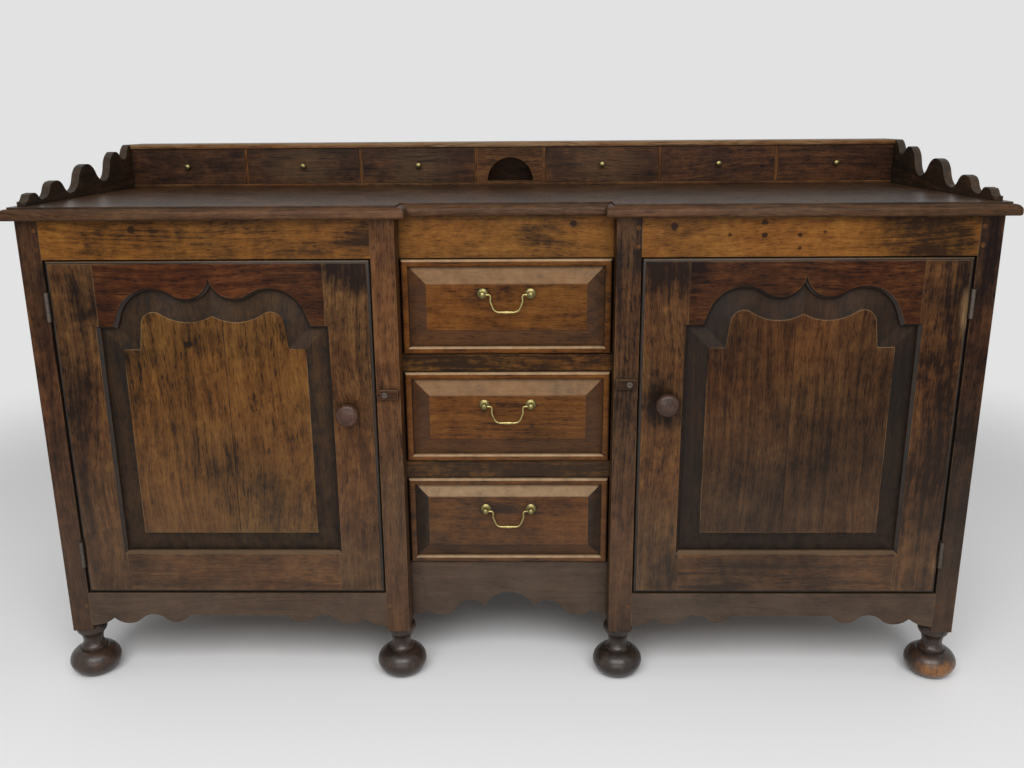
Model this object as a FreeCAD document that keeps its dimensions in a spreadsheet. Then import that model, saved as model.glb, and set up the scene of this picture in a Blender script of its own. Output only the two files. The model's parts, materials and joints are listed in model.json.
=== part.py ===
import FreeCAD, Part
import math
import os

import Sketcher

# A joined oak dresser base: two cupboards, a recessed bank of three drawers, and a gallery of spice drawers.
# Frame: +X along the front, +Y to the back, +Z up; the origin lies on the floor, under the middle of the box.
# Millimetres throughout.

V = FreeCAD.Vector

LEFT = -1
RIGHT = 1
SIDES = (LEFT, RIGHT)
SIDE_NAMES = {LEFT: "left", RIGHT: "right"}
DRAWER_NAMES = ("upper", "middle", "lower")
BACK_BOARD_COUNT = 8
SPICE_DRAWERS_PER_SIDE = 3

# The driving dimensions: one row per size that can be set by itself
SIZES = (
    ("carcass_width", 1575, "over the outer posts"),
    ("carcass_depth", 560, "front face of the posts to the back"),
    ("foot_height", 97, "floor to the bottom of the front posts"),
    ("post_height", 735, "length of the front posts"),
    ("recess", 45, "how far the drawer bank stands behind the posts"),
    ("outer_post_width", 36, ""),
    ("outer_post_depth", 60, ""),
    ("inner_post_width", 40, ""),
    ("rear_post_width", 50, ""),
    ("rear_post_depth", 45, ""),
    ("centre_bay_width", 356, "between the inner posts"),
    ("rail_thickness", 24, "front rails, aprons and side rails"),
    ("rail_backing", 9, "inner post behind the drawer rails"),
    ("frieze_height", 64, "rails over the doors and on the sides"),
    ("centre_frieze_height", 70, "rail over the drawers"),
    ("apron_height", 75, "post bottoms to the top of the door aprons"),
    ("side_rail_drop", 12, "post bottoms to the lower edge of the low side and back rails"),
    ("tenon_length", 20, ""),
    ("tenon_thickness", 8, ""),
    ("tenon_shoulder", 9, "rail left above and below a tenon"),
    ("peg_radius", 3.5, ""),
    ("peg_length", 20, "peg in the wood"),
    ("peg_proud", 0.6, "peg head in front of the post"),
    ("peg_inset", 6, "peg to the edge of the post beside its rail"),
    ("peg_pitch", 30, "between two pegs of one tenon"),
    ("dry_fit", 0.1, "round a peg, dowel, shank or screw in its hole"),
    ("top_thickness", 21, "worktop"),
    ("top_overhang", 18, "worktop beyond the posts"),
    ("top_step", 3, "height of the fillet on the moulded edge"),
    ("top_step_inset", 12, "fillet behind the nose"),
    ("top_nose_radius", 10, "upper round of the edge"),
    ("top_under_radius", 4, "lower round of the edge"),
    ("panel_thickness", 8, "tongue of a fielded panel"),
    ("panel_tongue", 8, "tongue in its groove"),
    ("side_bevel", 34, "bevel round the field of a side panel"),
    ("field_rise", 6, "field above the tongue"),
    ("back_board_thickness", 12, ""),
    ("back_board_gap", 0.05, "between two back boards"),
    ("back_rail_thickness", 20, ""),
    ("back_rail_height", 50, "upper back rail"),
    ("partition_thickness", 16, ""),
    ("floor_thickness", 14, "cupboard floors"),
    ("shelf_thickness", 14, "cupboard shelves"),
    ("shelf_height", 474, "floor of the room to the top of a shelf"),
    ("shelf_setback", 100, "post faces to the front of a shelf"),
    ("bearer_size", 20, "square strips under floors and shelves"),
    ("foot_floor_radius", 22, "flat under a bun foot"),
    ("bun_radius", 44.5, ""),
    ("bun_belly", 24, "floor to the widest part of the bun"),
    ("bun_shoulder_radius", 27, ""),
    ("bun_shoulder", 48, "floor to the top of the bun"),
    ("foot_ring_radius", 23, ""),
    ("foot_ring", 53, "floor to the top of the ring over the bun"),
    ("foot_neck_radius", 17.5, ""),
    ("foot_neck", 64, "floor to the thinnest part of the neck"),
    ("foot_collar_radius", 25, ""),
    ("foot_collar", 14, "height of the collar under the post"),
    ("foot_tenon_radius", 12, ""),
    ("foot_tenon_length", 20, ""),
    ("bun_low_bow", 5.2, "bun below its widest part, from its chord"),
    ("bun_high_bow", 4.9, "bun above its widest part, from its chord"),
    ("foot_neck_bow", 1.5, "hollow over the ring, from its chord"),
    ("foot_flare_bow", 2.2, "hollow under the collar, from its chord"),
    ("foot_collar_bow", 1.8, ""),
    ("foot_setback", 32, "post faces to the axis of a foot"),
    ("scallop_end", 42, "door apron, quarter lobe beside the post"),
    ("scallop_lobe", 49, "door apron, hanging lobe"),
    ("scallop_rise", 45, "door apron, small arch"),
    ("scallop_dip", 42, "door apron, lobe beside the straight"),
    ("scallop_end_height", 11, "post bottoms to the apron's end"),
    ("scallop_cusp_height", 26, ""),
    ("scallop_wave_height", 24, "where lobes pass into arches"),
    ("scallop_straight_height", 32, ""),
    ("scallop_bow", 9.5, "how far lobes and arches bow from their chords"),
    ("scallop_end_bow", 4, ""),
    ("arch_half", 45, "centre apron, half of the big arch"),
    ("arch_small", 50, "centre apron, small arch"),
    ("arch_lobe", 55, "centre apron, hanging lobe"),
    ("arch_cusp_height", 27, "post bottoms to the cusps of the big arch"),
    ("arch_wave_height", 25, ""),
    ("arch_end_cusp_height", 19, ""),
    ("arch_end_height", 13, ""),
    ("arch_rise", 28, "big arch above its cusps"),
    ("arch_bow", 12.5, "small arch and lobe from their chords"),
    ("door_thickness", 24, ""),
    ("door_gap", 2, "round a door, but for the hinge side"),
    ("hinge_gap", 2.5, "between a door and its outer post"),
    ("door_edge_step", 1.5, "fillet of the moulding round a door"),
    ("door_edge_width", 5, "width of that moulding"),
    ("door_edge_radius", 3.5, ""),
    ("door_stile_width", 77, ""),
    ("door_bottom_rail", 79, ""),
    ("door_shoulder_drop", 113, "door top to the shoulders of the arched opening"),
    ("door_cusp_drop", 43, "door top to the cusp of the opening"),
    ("door_lobe_drop", 50, "door top to the top of a lobe of the opening"),
    ("door_shoulder_width", 28.5, ""),
    ("door_spring", 5.3, "lobe to the corner of the shoulder"),
    ("lobe_share", 0.61, "place of a lobe, as a share of the arch's half width"),
    ("dip_share", 0.2516, "place of a dip, as a share of the arch's half width"),
    ("door_quirk", 1.2, "step of the moulding round the opening"),
    ("door_moulding_width", 4.6, "moulding round the opening"),
    ("door_moulding_depth", 6, ""),
    ("door_panel_depth", 11, "door face to the tongue of the panel"),
    ("door_bevel", 35, "opening to the raised field"),
    ("door_field_step", 1.5, "step round the raised field"),
    ("door_field_depth", 3.5, "door face to the raised field"),
    ("knob_reach", 34, "door knob in front of the door"),
    ("knob_radius", 19.5, ""),
    ("knob_collar_radius", 12.5, ""),
    ("knob_collar", 4, ""),
    ("knob_neck_radius", 8.5, ""),
    ("knob_neck", 11, "door face to the thinnest part of the knob"),
    ("knob_rim", 23, "door face to the widest part of the knob"),
    ("knob_neck_bow", 1.3, "hollow behind the neck, from its chord"),
    ("knob_rim_bow", 2, "rim, from its chord"),
    ("knob_face", 31.6, "door face to the edge of the knob's face"),
    ("knob_face_radius", 14, ""),
    ("knob_crown", 33.5, "door face to the edge of the knob's crown"),
    ("knob_crown_radius", 7.4, ""),
    ("knob_dowel_radius", 6, ""),
    ("knob_dowel_length", 16, ""),
    ("knob_inset", 45, "free edge of the door to the knob's axis"),
    ("left_knob_height", 511, "floor to the knob"),
    ("right_knob_height", 527, "floor to the knob"),
    ("hinge_length", 48, ""),
    ("hinge_inset", 75, "door's end to the middle of a hinge"),
    ("hinge_leaf", 1, "thickness of a leaf"),
    ("hinge_leaf_width", 18, "leaf behind the post faces"),
    ("hinge_barrel_radius", 3.5, ""),
    ("hinge_reach", 3.8, "post faces to the hinge axis"),
    ("hinge_pin_radius", 1.5, ""),
    ("hinge_fit", 0.05, "round the pin"),
    ("hinge_play", 0.4, "between two knuckles"),
    ("button_tip", 22.5, "turn button, pivot to the long end"),
    ("button_tail", 14, "pivot to the short end"),
    ("button_width", 16, ""),
    ("button_thickness", 6, ""),
    ("button_play", 0.4, "between a turn button and what it turns on"),
    ("button_inset", 14.5, "post edge to the pivot"),
    ("button_fit", 0.05, "round the screw"),
    ("left_button_height", 541, "floor to the pivot"),
    ("right_button_height", 558, "floor to the pivot"),
    ("screw_radius", 2.4, ""),
    ("screw_head_radius", 5, ""),
    ("screw_head", 2, ""),
    ("screw_slot", 1, "width of the slot in a screw's head"),
    ("screw_slot_depth", 0.9, ""),
    ("screw_depth", 22, "screw in the post"),
    ("drawer_opening", 164, "between two drawer rails"),
    ("drawer_rail_height", 29, ""),
    ("drawer_gap", 2, "above and below a drawer front"),
    ("drawer_side_gap", 2.5, "beside a drawer front"),
    ("drawer_proud", 6, "drawer front before its rails"),
    ("drawer_bead_width", 12, "rounded rim of a drawer front"),
    ("drawer_bead_depth", 8, ""),
    ("drawer_bead_radius", 4, ""),
    ("upper_drawer_bevel", 29, "rim to the raised field"),
    ("middle_drawer_bevel", 29, ""),
    ("lower_drawer_bevel", 22, ""),
    ("drawer_field_step", 1.2, "step round the raised field"),
    ("drawer_field_depth", 1, "rim to the face of the field"),
    ("drawer_front_thickness", 20, "behind the bevel"),
    ("drawer_side_thickness", 12, ""),
    ("drawer_bottom_thickness", 8, ""),
    ("drawer_bottom_lift", 10, "lower edge of the sides to the bottom"),
    ("drawer_side_drop", 12, "opening's top to the top of the sides"),
    ("drawer_back_gap", 20, "drawer to the back rails"),
    ("running_gap", 0.3, "under a sliding piece"),
    ("runner_width", 40, ""),
    ("runner_height", 22, ""),
    ("guide_height", 20, ""),
    ("guide_gap", 0.8, "between a drawer side and its guide"),
    ("handle_spacing", 80, "between the posts of a handle"),
    ("handle_height", 105, "opening's bottom to the posts"),
    ("handle_reach", 11, "drawer field to the bail's axis"),
    ("rosette_radius", 9, ""),
    ("rosette_thickness", 2.5, ""),
    ("rosette_bow", 0.6, ""),
    ("handle_neck_radius", 3.2, ""),
    ("handle_ball_radius", 5.1, ""),
    ("handle_ball_bow", 1.15, ""),
    ("handle_ball_foot", 4.2, "start of the ball to the bail's axis"),
    ("handle_ball_face", 4.2, "bail's axis to the edge of the ball's face"),
    ("handle_ball_face_radius", 3.1, ""),
    ("handle_ball_crown", 4.9, "bail's axis to the edge of the ball's crown"),
    ("handle_ball_crown_radius", 1.6, ""),
    ("handle_ball_tip", 5.2, "bail's axis to the tip of the ball"),
    ("shank_radius", 2.5, ""),
    ("nut_radius", 6, ""),
    ("nut_thickness", 4, ""),
    ("bail_radius", 1.75, "wire of a bail"),
    ("bail_fit", 0.05, "round the wire in its post"),
    ("bail_pin", 3.5, "bore of a post beyond its axis"),
    ("bail_end_play", 0.4, "wire's end to the end of its bore"),
    ("bail_arm", 14, "post to the bend of the swan neck"),
    ("bail_waist", 13, "post to the waist"),
    ("bail_hip", 20, "post to the lower bend"),
    ("bail_waist_drop", 11, "axis to the waist"),
    ("bail_drop", 29.5, "axis to the grip"),
    ("bail_neck_bend", 4, "radius of the bends of the swan neck"),
    ("bail_hip_bend", 12, "radius of the lower bends"),
    ("bail_grip_radius", 3, "thickest part of the grip"),
    ("spice_depth", 102, "spice case, front to back"),
    ("spice_base", 5.5, ""),
    ("spice_height", 70.5, "between the base and the top of the case"),
    ("spice_top", 9, ""),
    ("spice_back", 8, ""),
    ("spice_nosing", 3, "base and top before the dividers"),
    ("divider_thickness", 6, ""),
    ("pigeonhole_width", 138, "between the middles of its two dividers"),
    ("pigeonhole_front", 9, "thickness of the arched board"),
    ("pigeonhole_radius", 46.5, ""),
    ("pigeonhole_sill", 3, ""),
    ("spice_gap", 0.8, "round a spice drawer's front"),
    ("spice_front", 9, "thickness of a spice drawer's front"),
    ("spice_side", 6, ""),
    ("spice_bottom", 4, ""),
    ("spice_back_gap", 3, "spice drawer to the back of its case"),
    ("spice_side_drop", 8, "case top to the top of a drawer's sides"),
    ("spice_knob_radius", 5.5, ""),
    ("spice_knob_reach", 12, ""),
    ("spice_knob_stem", 2, ""),
    ("spice_knob_foot_radius", 3.3, ""),
    ("spice_knob_neck", 3.6, "drawer's face to the thinnest part of the knob"),
    ("spice_knob_neck_radius", 2.2, ""),
    ("spice_knob_rim", 7.8, "drawer's face to the widest part of the knob"),
    ("spice_knob_bow", 1, "rim, from its chord"),
    ("spice_knob_face", 11.3, "drawer's face to the edge of the knob's face"),
    ("spice_knob_face_radius", 3, ""),
    ("spice_knob_crown", 11.9, "drawer's face to the edge of the knob's crown"),
    ("spice_knob_crown_radius", 1.4, ""),
    ("gallery_thickness", 14, ""),
    ("gallery_setback", 16, "post faces to the front of the gallery"),
    ("gallery_front_height", 7, "worktop to the gallery's front corner"),
    ("wave_1_crest", 18, "first wave: worktop to the crest"),
    ("wave_2_crest", 33, ""),
    ("wave_3_crest", 55, ""),
    ("wave_4_crest", 71, ""),
    ("wave_1_valley", 8, "worktop to the valley behind the first wave"),
    ("wave_2_valley", 11, ""),
    ("wave_3_valley", 23, ""),
    ("wave_4_valley", 61, ""),
    ("wave_1_length", 64, "first wave, front corner to valley"),
    ("wave_2_length", 104, ""),
    ("wave_3_length", 143, ""),
    ("wave_4_length", 103, ""),
    ("wave_front", 0.42, "share of a wave that rises"),
    ("wave_rise_bow", 0.085, "bow of each half of a wave's rise, as a share of the rise's run"),
    ("wave_fall_bow", 0.083, "bow of each half of a wave's fall, as a share of the fall's run"),
    ("gallery_end_bow", 4, "last rise, up to the top of the spice case"),
)


class Size:
    """A length that holds both its number and the sheet expression that gives it."""

    def __init__(self, value, text):
        self.value = value
        self.text = text

    def __add__(self, other):
        other = as_size(other)
        return Size(self.value + other.value, f"({self.text} + {other.text})")

    def __radd__(self, other):
        return as_size(other) + self

    def __sub__(self, other):
        other = as_size(other)
        return Size(self.value - other.value, f"({self.text} - {other.text})")

    def __rsub__(self, other):
        return as_size(other) - self

    def __mul__(self, other):
        other = as_size(other)
        return Size(self.value * other.value, f"({self.text} * {other.text})")

    def __rmul__(self, other):
        return as_size(other) * self

    def __truediv__(self, other):
        other = as_size(other)
        return Size(self.value / other.value, f"({self.text} / {other.text})")

    def __neg__(self):
        return Size(-self.value, f"(0 - {self.text})")


def as_size(value):
    """Return the value as a Size; a plain number stands for itself."""
    if isinstance(value, Size):
        return value
    return Size(float(value), f"{float(value)}")


ZERO = as_size(0)

doc = FreeCAD.newDocument("kitchen_dresser")
sheet = doc.addObject("Spreadsheet::Sheet", "Sizes")
for row, (alias, number, note) in enumerate(SIZES, start=1):
    sheet.set(f"A{row}", alias)
    sheet.set(f"B{row}", str(number))
    sheet.setAlias(f"B{row}", alias)
    sheet.set(f"C{row}", note)
places = doc.addObject("Spreadsheet::Sheet", "Places")
doc.recompute()

place_names = []
nodes = []


def size(alias):
    """A driving dimension of the sheet."""
    return Size(float(sheet.get(alias)), f"Sizes.{alias}")


def place(alias, value):
    """Keep a worked-out level or distance in the second sheet, so that other expressions stay short."""
    place_names.append(alias)
    row = len(place_names)
    places.set(f"A{row}", alias)
    places.set(f"B{row}", "=" + value.text)
    places.setAlias(f"B{row}", alias)
    return Size(value.value, f"Places.{alias}")


# Levels and distances that several pieces share
half_width = place("half_width", size("carcass_width") / 2)
front_y = place("front_y", (size("knob_reach") - size("carcass_depth")) / 2)
back_y = place("back_y", front_y + size("carcass_depth"))
recess_y = place("recess_y", front_y + size("recess"))
recess_back_y = place("recess_back_y", recess_y + size("rail_thickness"))
rail_back_y = place("rail_back_y", front_y + size("rail_thickness"))
outer_post_back_y = place("outer_post_back_y", front_y + size("outer_post_depth"))
inner_post_back_y = place("inner_post_back_y", recess_back_y + size("rail_backing"))
rear_post_y = place("rear_post_y", back_y - size("rear_post_depth"))
board_y = place("board_y", back_y - size("back_board_thickness"))
back_rail_y = place("back_rail_y", board_y - size("back_rail_thickness"))
post_bottom = size("foot_height")
post_top = place("post_top", post_bottom + size("post_height"))
top_z = place("top_z", post_top + size("top_thickness"))
bay_half = place("bay_half", size("centre_bay_width") / 2)
cupboard_in = place("cupboard_in", bay_half + size("inner_post_width"))
cupboard_out = place("cupboard_out", half_width - size("outer_post_width"))
cupboard_mid = place("cupboard_mid", (cupboard_in + cupboard_out) / 2)
rear_post_in = place("rear_post_in", half_width - size("rear_post_width"))
side_in = place("side_in", half_width - size("rail_thickness"))
frieze_z = place("frieze_z", post_top - size("frieze_height"))
apron_top = place("apron_top", post_bottom + size("apron_height"))
low_rail_z = place("low_rail_z", post_bottom + size("side_rail_drop"))
back_frieze_z = place("back_frieze_z", post_top - size("back_rail_height"))
partition_mid = place("partition_mid", (bay_half + cupboard_in) / 2)
partition_in = place("partition_in", partition_mid - size("partition_thickness") / 2)
partition_out = place("partition_out", partition_mid + size("partition_thickness") / 2)
opening_tops = []
opening_bottoms = []
level = post_top - size("centre_frieze_height")
for name in DRAWER_NAMES:
    opening_tops.append(place(f"{name}_opening_top", level))
    opening_bottoms.append(place(f"{name}_opening_bottom", opening_tops[-1] - size("drawer_opening")))
    level = opening_bottoms[-1] - size("drawer_rail_height")
bay_apron_top = opening_bottoms[-1]
doc.recompute()


# Small helpers that make document objects


def bind(item, values):
    """Bind properties of an object to expressions."""
    for prop, value in values.items():
        item.setExpression(prop, as_size(value).text)
    return item


def set_base(item, x, y, z):
    """Bind the place of an object."""
    return bind(item, {"Placement.Base.x": x, "Placement.Base.y": y, "Placement.Base.z": z})


def box(name, x, y, z):
    """A block between two bounds along each axis."""
    item = doc.addObject("Part::Box", name)
    for prop, bounds in (("Length", x), ("Width", y), ("Height", z)):
        bind(item, {prop: as_size(bounds[1]) - bounds[0]})
    return set_base(item, x[0], y[0], z[0])


AXIS_TURNS = {
    "x": FreeCAD.Rotation(V(0, 1, 0), 90),
    "y": FreeCAD.Rotation(V(1, 0, 0), -90),
    "z": FreeCAD.Rotation(),
}


def rod(name, axis, radius, start, length):
    """A cylinder that runs along +X, +Y or +Z from its start."""
    item = doc.addObject("Part::Cylinder", name)
    item.Placement = FreeCAD.Placement(V(), AXIS_TURNS[axis])
    bind(item, {"Radius": radius, "Height": length})
    return set_base(item, *start)


def fuse(name, pieces):
    """One solid of several that meet."""
    item = doc.addObject("Part::MultiFuse", name)
    item.Shapes = pieces
    return item


def cut(name, base, tools):
    """A solid less its cutters."""
    item = doc.addObject("Part::Cut", name)
    item.Base = base
    item.Tool = tools[0] if len(tools) == 1 else fuse(name + "_cutters", tools)
    return item


def common(name, first, second):
    """What two solids share."""
    item = doc.addObject("Part::Common", name)
    item.Base = first
    item.Tool = second
    return item


def group(name, pieces):
    """Several separate solids kept together."""
    item = doc.addObject("Part::Compound", name)
    item.Links = pieces
    return item


def shape_feature(name, shape):
    """A solid worked out with Part's own functions."""
    item = doc.addObject("Part::Feature", name)
    item.Shape = shape
    return item


def node(label, item):
    """Name a sub-part for writing."""
    item.Label = label
    nodes.append(item)
    return item


def round_edges(name, base, radius, chosen):
    """Round the edges of a solid for which chosen(edge) holds."""
    doc.recompute()
    item = doc.addObject("Part::Fillet", name)
    item.Base = base
    picked = [index for index, edge in enumerate(base.Shape.Edges, start=1) if chosen(edge)]
    item.Edges = [(index, radius.value, radius.value) for index in picked]
    return item


def lies_at(edge, axis, level):
    """Whether a whole edge lies at one level of an axis."""
    tolerance = 1e-6
    box_of = edge.BoundBox
    low = getattr(box_of, axis + "Min")
    high = getattr(box_of, axis + "Max")
    return abs(low - level) < tolerance and abs(high - level) < tolerance


def mirrored(side, near, far):
    """Bounds along X of a piece that lies from near to far on one side of the middle."""
    return (near, far) if side == RIGHT else (-as_size(far), -as_size(near))


def new_body(name):
    """A body and its origin planes by role."""
    body = doc.addObject("PartDesign::Body", name)
    planes = {feature.Role: feature for feature in body.Origin.OriginFeatures}
    return body, planes


def bow_radius(start, end, bow):
    """Radius of the arc that bows by that much from the chord between two corners."""
    run = end[0] - start[0]
    rise = end[1] - start[1]
    return ((run * run + rise * rise) / 4 + bow * bow) / (bow * 2)


def point_of(corner):
    """The drawn place of a corner."""
    return V(corner[0].value, corner[1].value, 0)


def draw_run(sketch, start, end, bow, hand):
    """Draw a straight run, or an arc that bows to one hand; return its index and its two end numbers."""
    first = point_of(start)
    last = point_of(end)
    if bow is None:
        return sketch.addGeometry(Part.LineSegment(first, last), False), 1, 2
    along = last.sub(first).normalize()
    middle = (first + last) * 0.5 + V(-along.y, along.x, 0) * (bow.value * hand)
    index = sketch.addGeometry(Part.Arc(first, middle, last), False)
    forward = sketch.getPoint(index, 1).sub(first).Length < sketch.getPoint(index, 2).sub(first).Length
    return (index, 1, 2) if forward else (index, 2, 1)


MOULDING_SHARE = 0.95
TO_LEFT = 1
TO_RIGHT = -1
ORIGIN_POINT = (-1, 1)
H_AXIS = -1
V_AXIS = -2


def outline(body, plane, corners):
    """Sketch a closed outline of corners (x, y, bow, hand); a bow belongs to the run after its corner."""
    sketch = body.newObject("Sketcher::SketchObject", body.Name + "_outline")
    sketch.AttachmentSupport = [(plane, "")]
    sketch.MapMode = "FlatFace"
    corners = [(as_size(c[0]), as_size(c[1])) + tuple(c[2:] or (None, TO_LEFT)) for c in corners]
    ends = corners[1:] + corners[:1]
    runs = [draw_run(sketch, start, end, start[2], start[3]) for start, end in zip(corners, ends)]
    for (index, first, _), (before, _, last) in zip(runs, runs[-1:] + runs[:-1]):
        sketch.addConstraint(Sketcher.Constraint("Coincident", before, last, index, first))
    for (index, first, _), corner, end in zip(runs, corners, ends):
        for kind, axis, value in (("DistanceX", V_AXIS, corner[0]), ("DistanceY", H_AXIS, corner[1])):
            if value is ZERO or value.text == ZERO.text:
                sketch.addConstraint(Sketcher.Constraint("PointOnObject", index, first, axis))
                continue
            number = sketch.addConstraint(Sketcher.Constraint(kind, *ORIGIN_POINT, index, first, value.value))
            sketch.setExpression(f"Constraints[{number}]", value.text)
        if corner[2] is not None:
            radius = bow_radius(corner, end, corner[2])
            number = sketch.addConstraint(Sketcher.Constraint("Radius", index, radius.value))
            sketch.setExpression(f"Constraints[{number}]", radius.text)
    return sketch


def turned(name, corners):
    """A turned piece: its half outline (radius, height) swung round the body's Z axis."""
    body, planes = new_body(name)
    sketch = outline(body, planes["XZ_Plane"], corners)
    spin = body.newObject("PartDesign::Revolution", name + "_turning")
    spin.Profile = sketch
    spin.ReferenceAxis = (sketch, ["V_Axis"])
    spin.Angle = 360
    return body


def sawn(name, role, corners, thickness, backwards):
    """A board sawn to an outline on one of its planes."""
    body, planes = new_body(name)
    sketch = outline(body, planes[role], corners)
    pad = body.newObject("PartDesign::Pad", name + "_board")
    pad.Profile = sketch
    bind(pad, {"Length": thickness})
    pad.Reversed = backwards
    return body


# Joinery: each tenon is one block, fused to its rail and cut from its post

post_cutters = {}
pegs = []


def cutters_of(post):
    """The list of what is cut from a post."""
    return post_cutters.setdefault(post, [])


def middle_third(low, high):
    """Bounds of a tenon in the middle of a rail's thickness."""
    middle = (as_size(low) + high) / 2
    half = size("tenon_thickness") / 2
    return (middle - half, middle + half)


def tenon_heights(z):
    """Bounds of a tenon between its shoulders."""
    return (as_size(z[0]) + size("tenon_shoulder"), as_size(z[1]) - size("tenon_shoulder"))


def tenons_along_x(name, x, y, z, posts):
    """Tenons at both ends of a rail along X, cut from the two posts named."""
    made = []
    ends = ((as_size(x[0]) - size("tenon_length"), x[0]), (x[1], as_size(x[1]) + size("tenon_length")))
    for number, (bounds, post) in enumerate(zip(ends, posts)):
        made.append(box(f"{name}_tenon_{number}", bounds, middle_third(*y), tenon_heights(z)))
        cutters_of(post).append(made[-1])
    return made


def tenons_along_y(name, x, y, z, posts):
    """Tenons at both ends of a rail along Y, cut from the two posts named."""
    made = []
    ends = ((as_size(y[0]) - size("tenon_length"), y[0]), (y[1], as_size(y[1]) + size("tenon_length")))
    for number, (bounds, post) in enumerate(zip(ends, posts)):
        made.append(box(f"{name}_tenon_{number}", middle_third(*x), bounds, tenon_heights(z)))
        cutters_of(post).append(made[-1])
    return made


def add_pegs(name, post, x, z_values):
    """Pegs driven from the front through a post and its tenon; returns the holes for the rail."""
    holes = []
    for number, z in enumerate(z_values):
        start = (x, front_y - size("peg_proud"), z)
        length = size("peg_length") + size("peg_proud")
        pegs.append(rod(f"{name}_peg_{number}", "y", size("peg_radius"), start, length))
        hole = rod(f"{name}_hole_{number}", "y", size("peg_radius") + size("dry_fit"), start, length)
        holes.append(hole)
        cutters_of(post).append(hole)
    return holes


def post_name(kind, side):
    return f"{SIDE_NAMES[side]}_{kind}_post"


# Front rails: a frieze over each door, a frieze over the drawers, and two drawer rails

front_rails = []
cupboard_rail_y = (front_y, rail_back_y)
bay_rail_y = (recess_y, recess_back_y)


def pegged_rail(name, blank, side, x, z, peg_heights):
    """Give a rail or apron beside the doors its tenons and pegs."""
    posts = [post_name("inner", side), post_name("outer", side)]
    peg_places = [cupboard_in - size("peg_inset"), cupboard_out + size("peg_inset")]
    ordered = posts if side == RIGHT else posts[::-1]
    tenons = tenons_along_x(name, x, cupboard_rail_y, z, ordered)
    holes = []
    for post, peg_x in zip(posts, peg_places):
        holes += add_pegs(f"{name}_{post}", post, peg_x * side, peg_heights)
    return cut(name, fuse(name + "_tenoned", [blank] + tenons), holes)


for side in SIDES:
    name = f"{SIDE_NAMES[side]}_frieze"
    x = mirrored(side, cupboard_in, cupboard_out)
    z = (frieze_z, post_top)
    middle = (frieze_z + post_top) / 2
    heights = (middle - size("peg_pitch") / 2, middle + size("peg_pitch") / 2)
    front_rails.append(pegged_rail(name, box(name + "_blank", x, cupboard_rail_y, z), side, x, z, heights))

bay_x = (-bay_half, bay_half)
bay_posts = [post_name("inner", LEFT), post_name("inner", RIGHT)]
bay_levels = [(opening_tops[0], post_top)]
bay_levels += [(opening_tops[k + 1], opening_bottoms[k]) for k in range(len(DRAWER_NAMES) - 1)]
for number, z in enumerate(bay_levels):
    name = f"bay_rail_{number}"
    tenons = tenons_along_x(name, bay_x, bay_rail_y, z, bay_posts)
    front_rails.append(fuse(name, [box(name + "_blank", bay_x, bay_rail_y, z)] + tenons))
node("front_rails", group("front_rails_group", front_rails))


# Aprons: sawn to scallops below, tenoned like the rails


def mirror_corners(half_corners, length):
    """A left half of an outline, ordered towards the middle, and its mirror image."""
    mirror = []
    for k in range(len(half_corners) - 1, -1, -1):
        x, z = half_corners[k][:2]
        bow, hand = half_corners[k - 1][2:] if k else (None, TO_LEFT)
        mirror.append((length - x, z, bow, hand))
    return half_corners + mirror


def door_apron(side):
    """The apron under one door; the scallops start at the posts and leave a straight in the middle."""
    name = f"{SIDE_NAMES[side]}_apron"
    length = cupboard_out - cupboard_in
    first = size("scallop_end")
    second = first + size("scallop_lobe")
    third = second + size("scallop_rise")
    fourth = third + size("scallop_dip")
    bow = size("scallop_bow")
    half = [
        (ZERO, size("scallop_end_height"), size("scallop_end_bow"), TO_RIGHT),
        (first, size("scallop_cusp_height"), bow, TO_RIGHT),
        (second, size("scallop_wave_height"), bow, TO_LEFT),
        (third, size("scallop_wave_height"), bow, TO_RIGHT),
        (fourth, size("scallop_straight_height"), None, TO_LEFT),
    ]
    corners = mirror_corners(half, length)
    corners += [(length, size("apron_height")), (ZERO, size("apron_height"))]
    board = sawn(name + "_blank", "XZ_Plane", corners, size("rail_thickness"), True)
    x = mirrored(side, cupboard_in, cupboard_out)
    set_base(board, x[0], front_y, post_bottom)
    z = (post_bottom + size("scallop_cusp_height"), apron_top)
    return pegged_rail(name, board, side, x, z, [(z[0] + z[1]) / 2])


def bay_apron():
    """The apron under the drawers: one big arch between two small ones."""
    length = size("centre_bay_width")
    first = bay_half - size("arch_half") - size("arch_small") - size("arch_lobe")
    second = bay_half - size("arch_half") - size("arch_small")
    third = bay_half - size("arch_half")
    half = [
        (ZERO, size("arch_end_height"), size("scallop_end_bow"), TO_RIGHT),
        (first, size("arch_end_cusp_height"), size("arch_bow"), TO_RIGHT),
        (second, size("arch_wave_height"), size("arch_bow"), TO_LEFT),
        (third, size("arch_cusp_height"), size("arch_rise"), TO_LEFT),
    ]
    height = bay_apron_top - post_bottom
    corners = mirror_corners(half, length)
    corners += [(length, height), (ZERO, height)]
    board = sawn("bay_apron_blank", "XZ_Plane", corners, size("rail_thickness"), True)
    set_base(board, -bay_half, recess_y, post_bottom)
    z = (post_bottom + size("arch_cusp_height"), bay_apron_top)
    tenons = tenons_along_x("bay_apron", bay_x, bay_rail_y, z, bay_posts)
    return fuse("bay_apron", [board] + tenons)


node("aprons", group("aprons_group", [door_apron(side) for side in SIDES] + [bay_apron()]))


# Side frames: two rails and a fielded panel between the outer and rear posts

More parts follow.
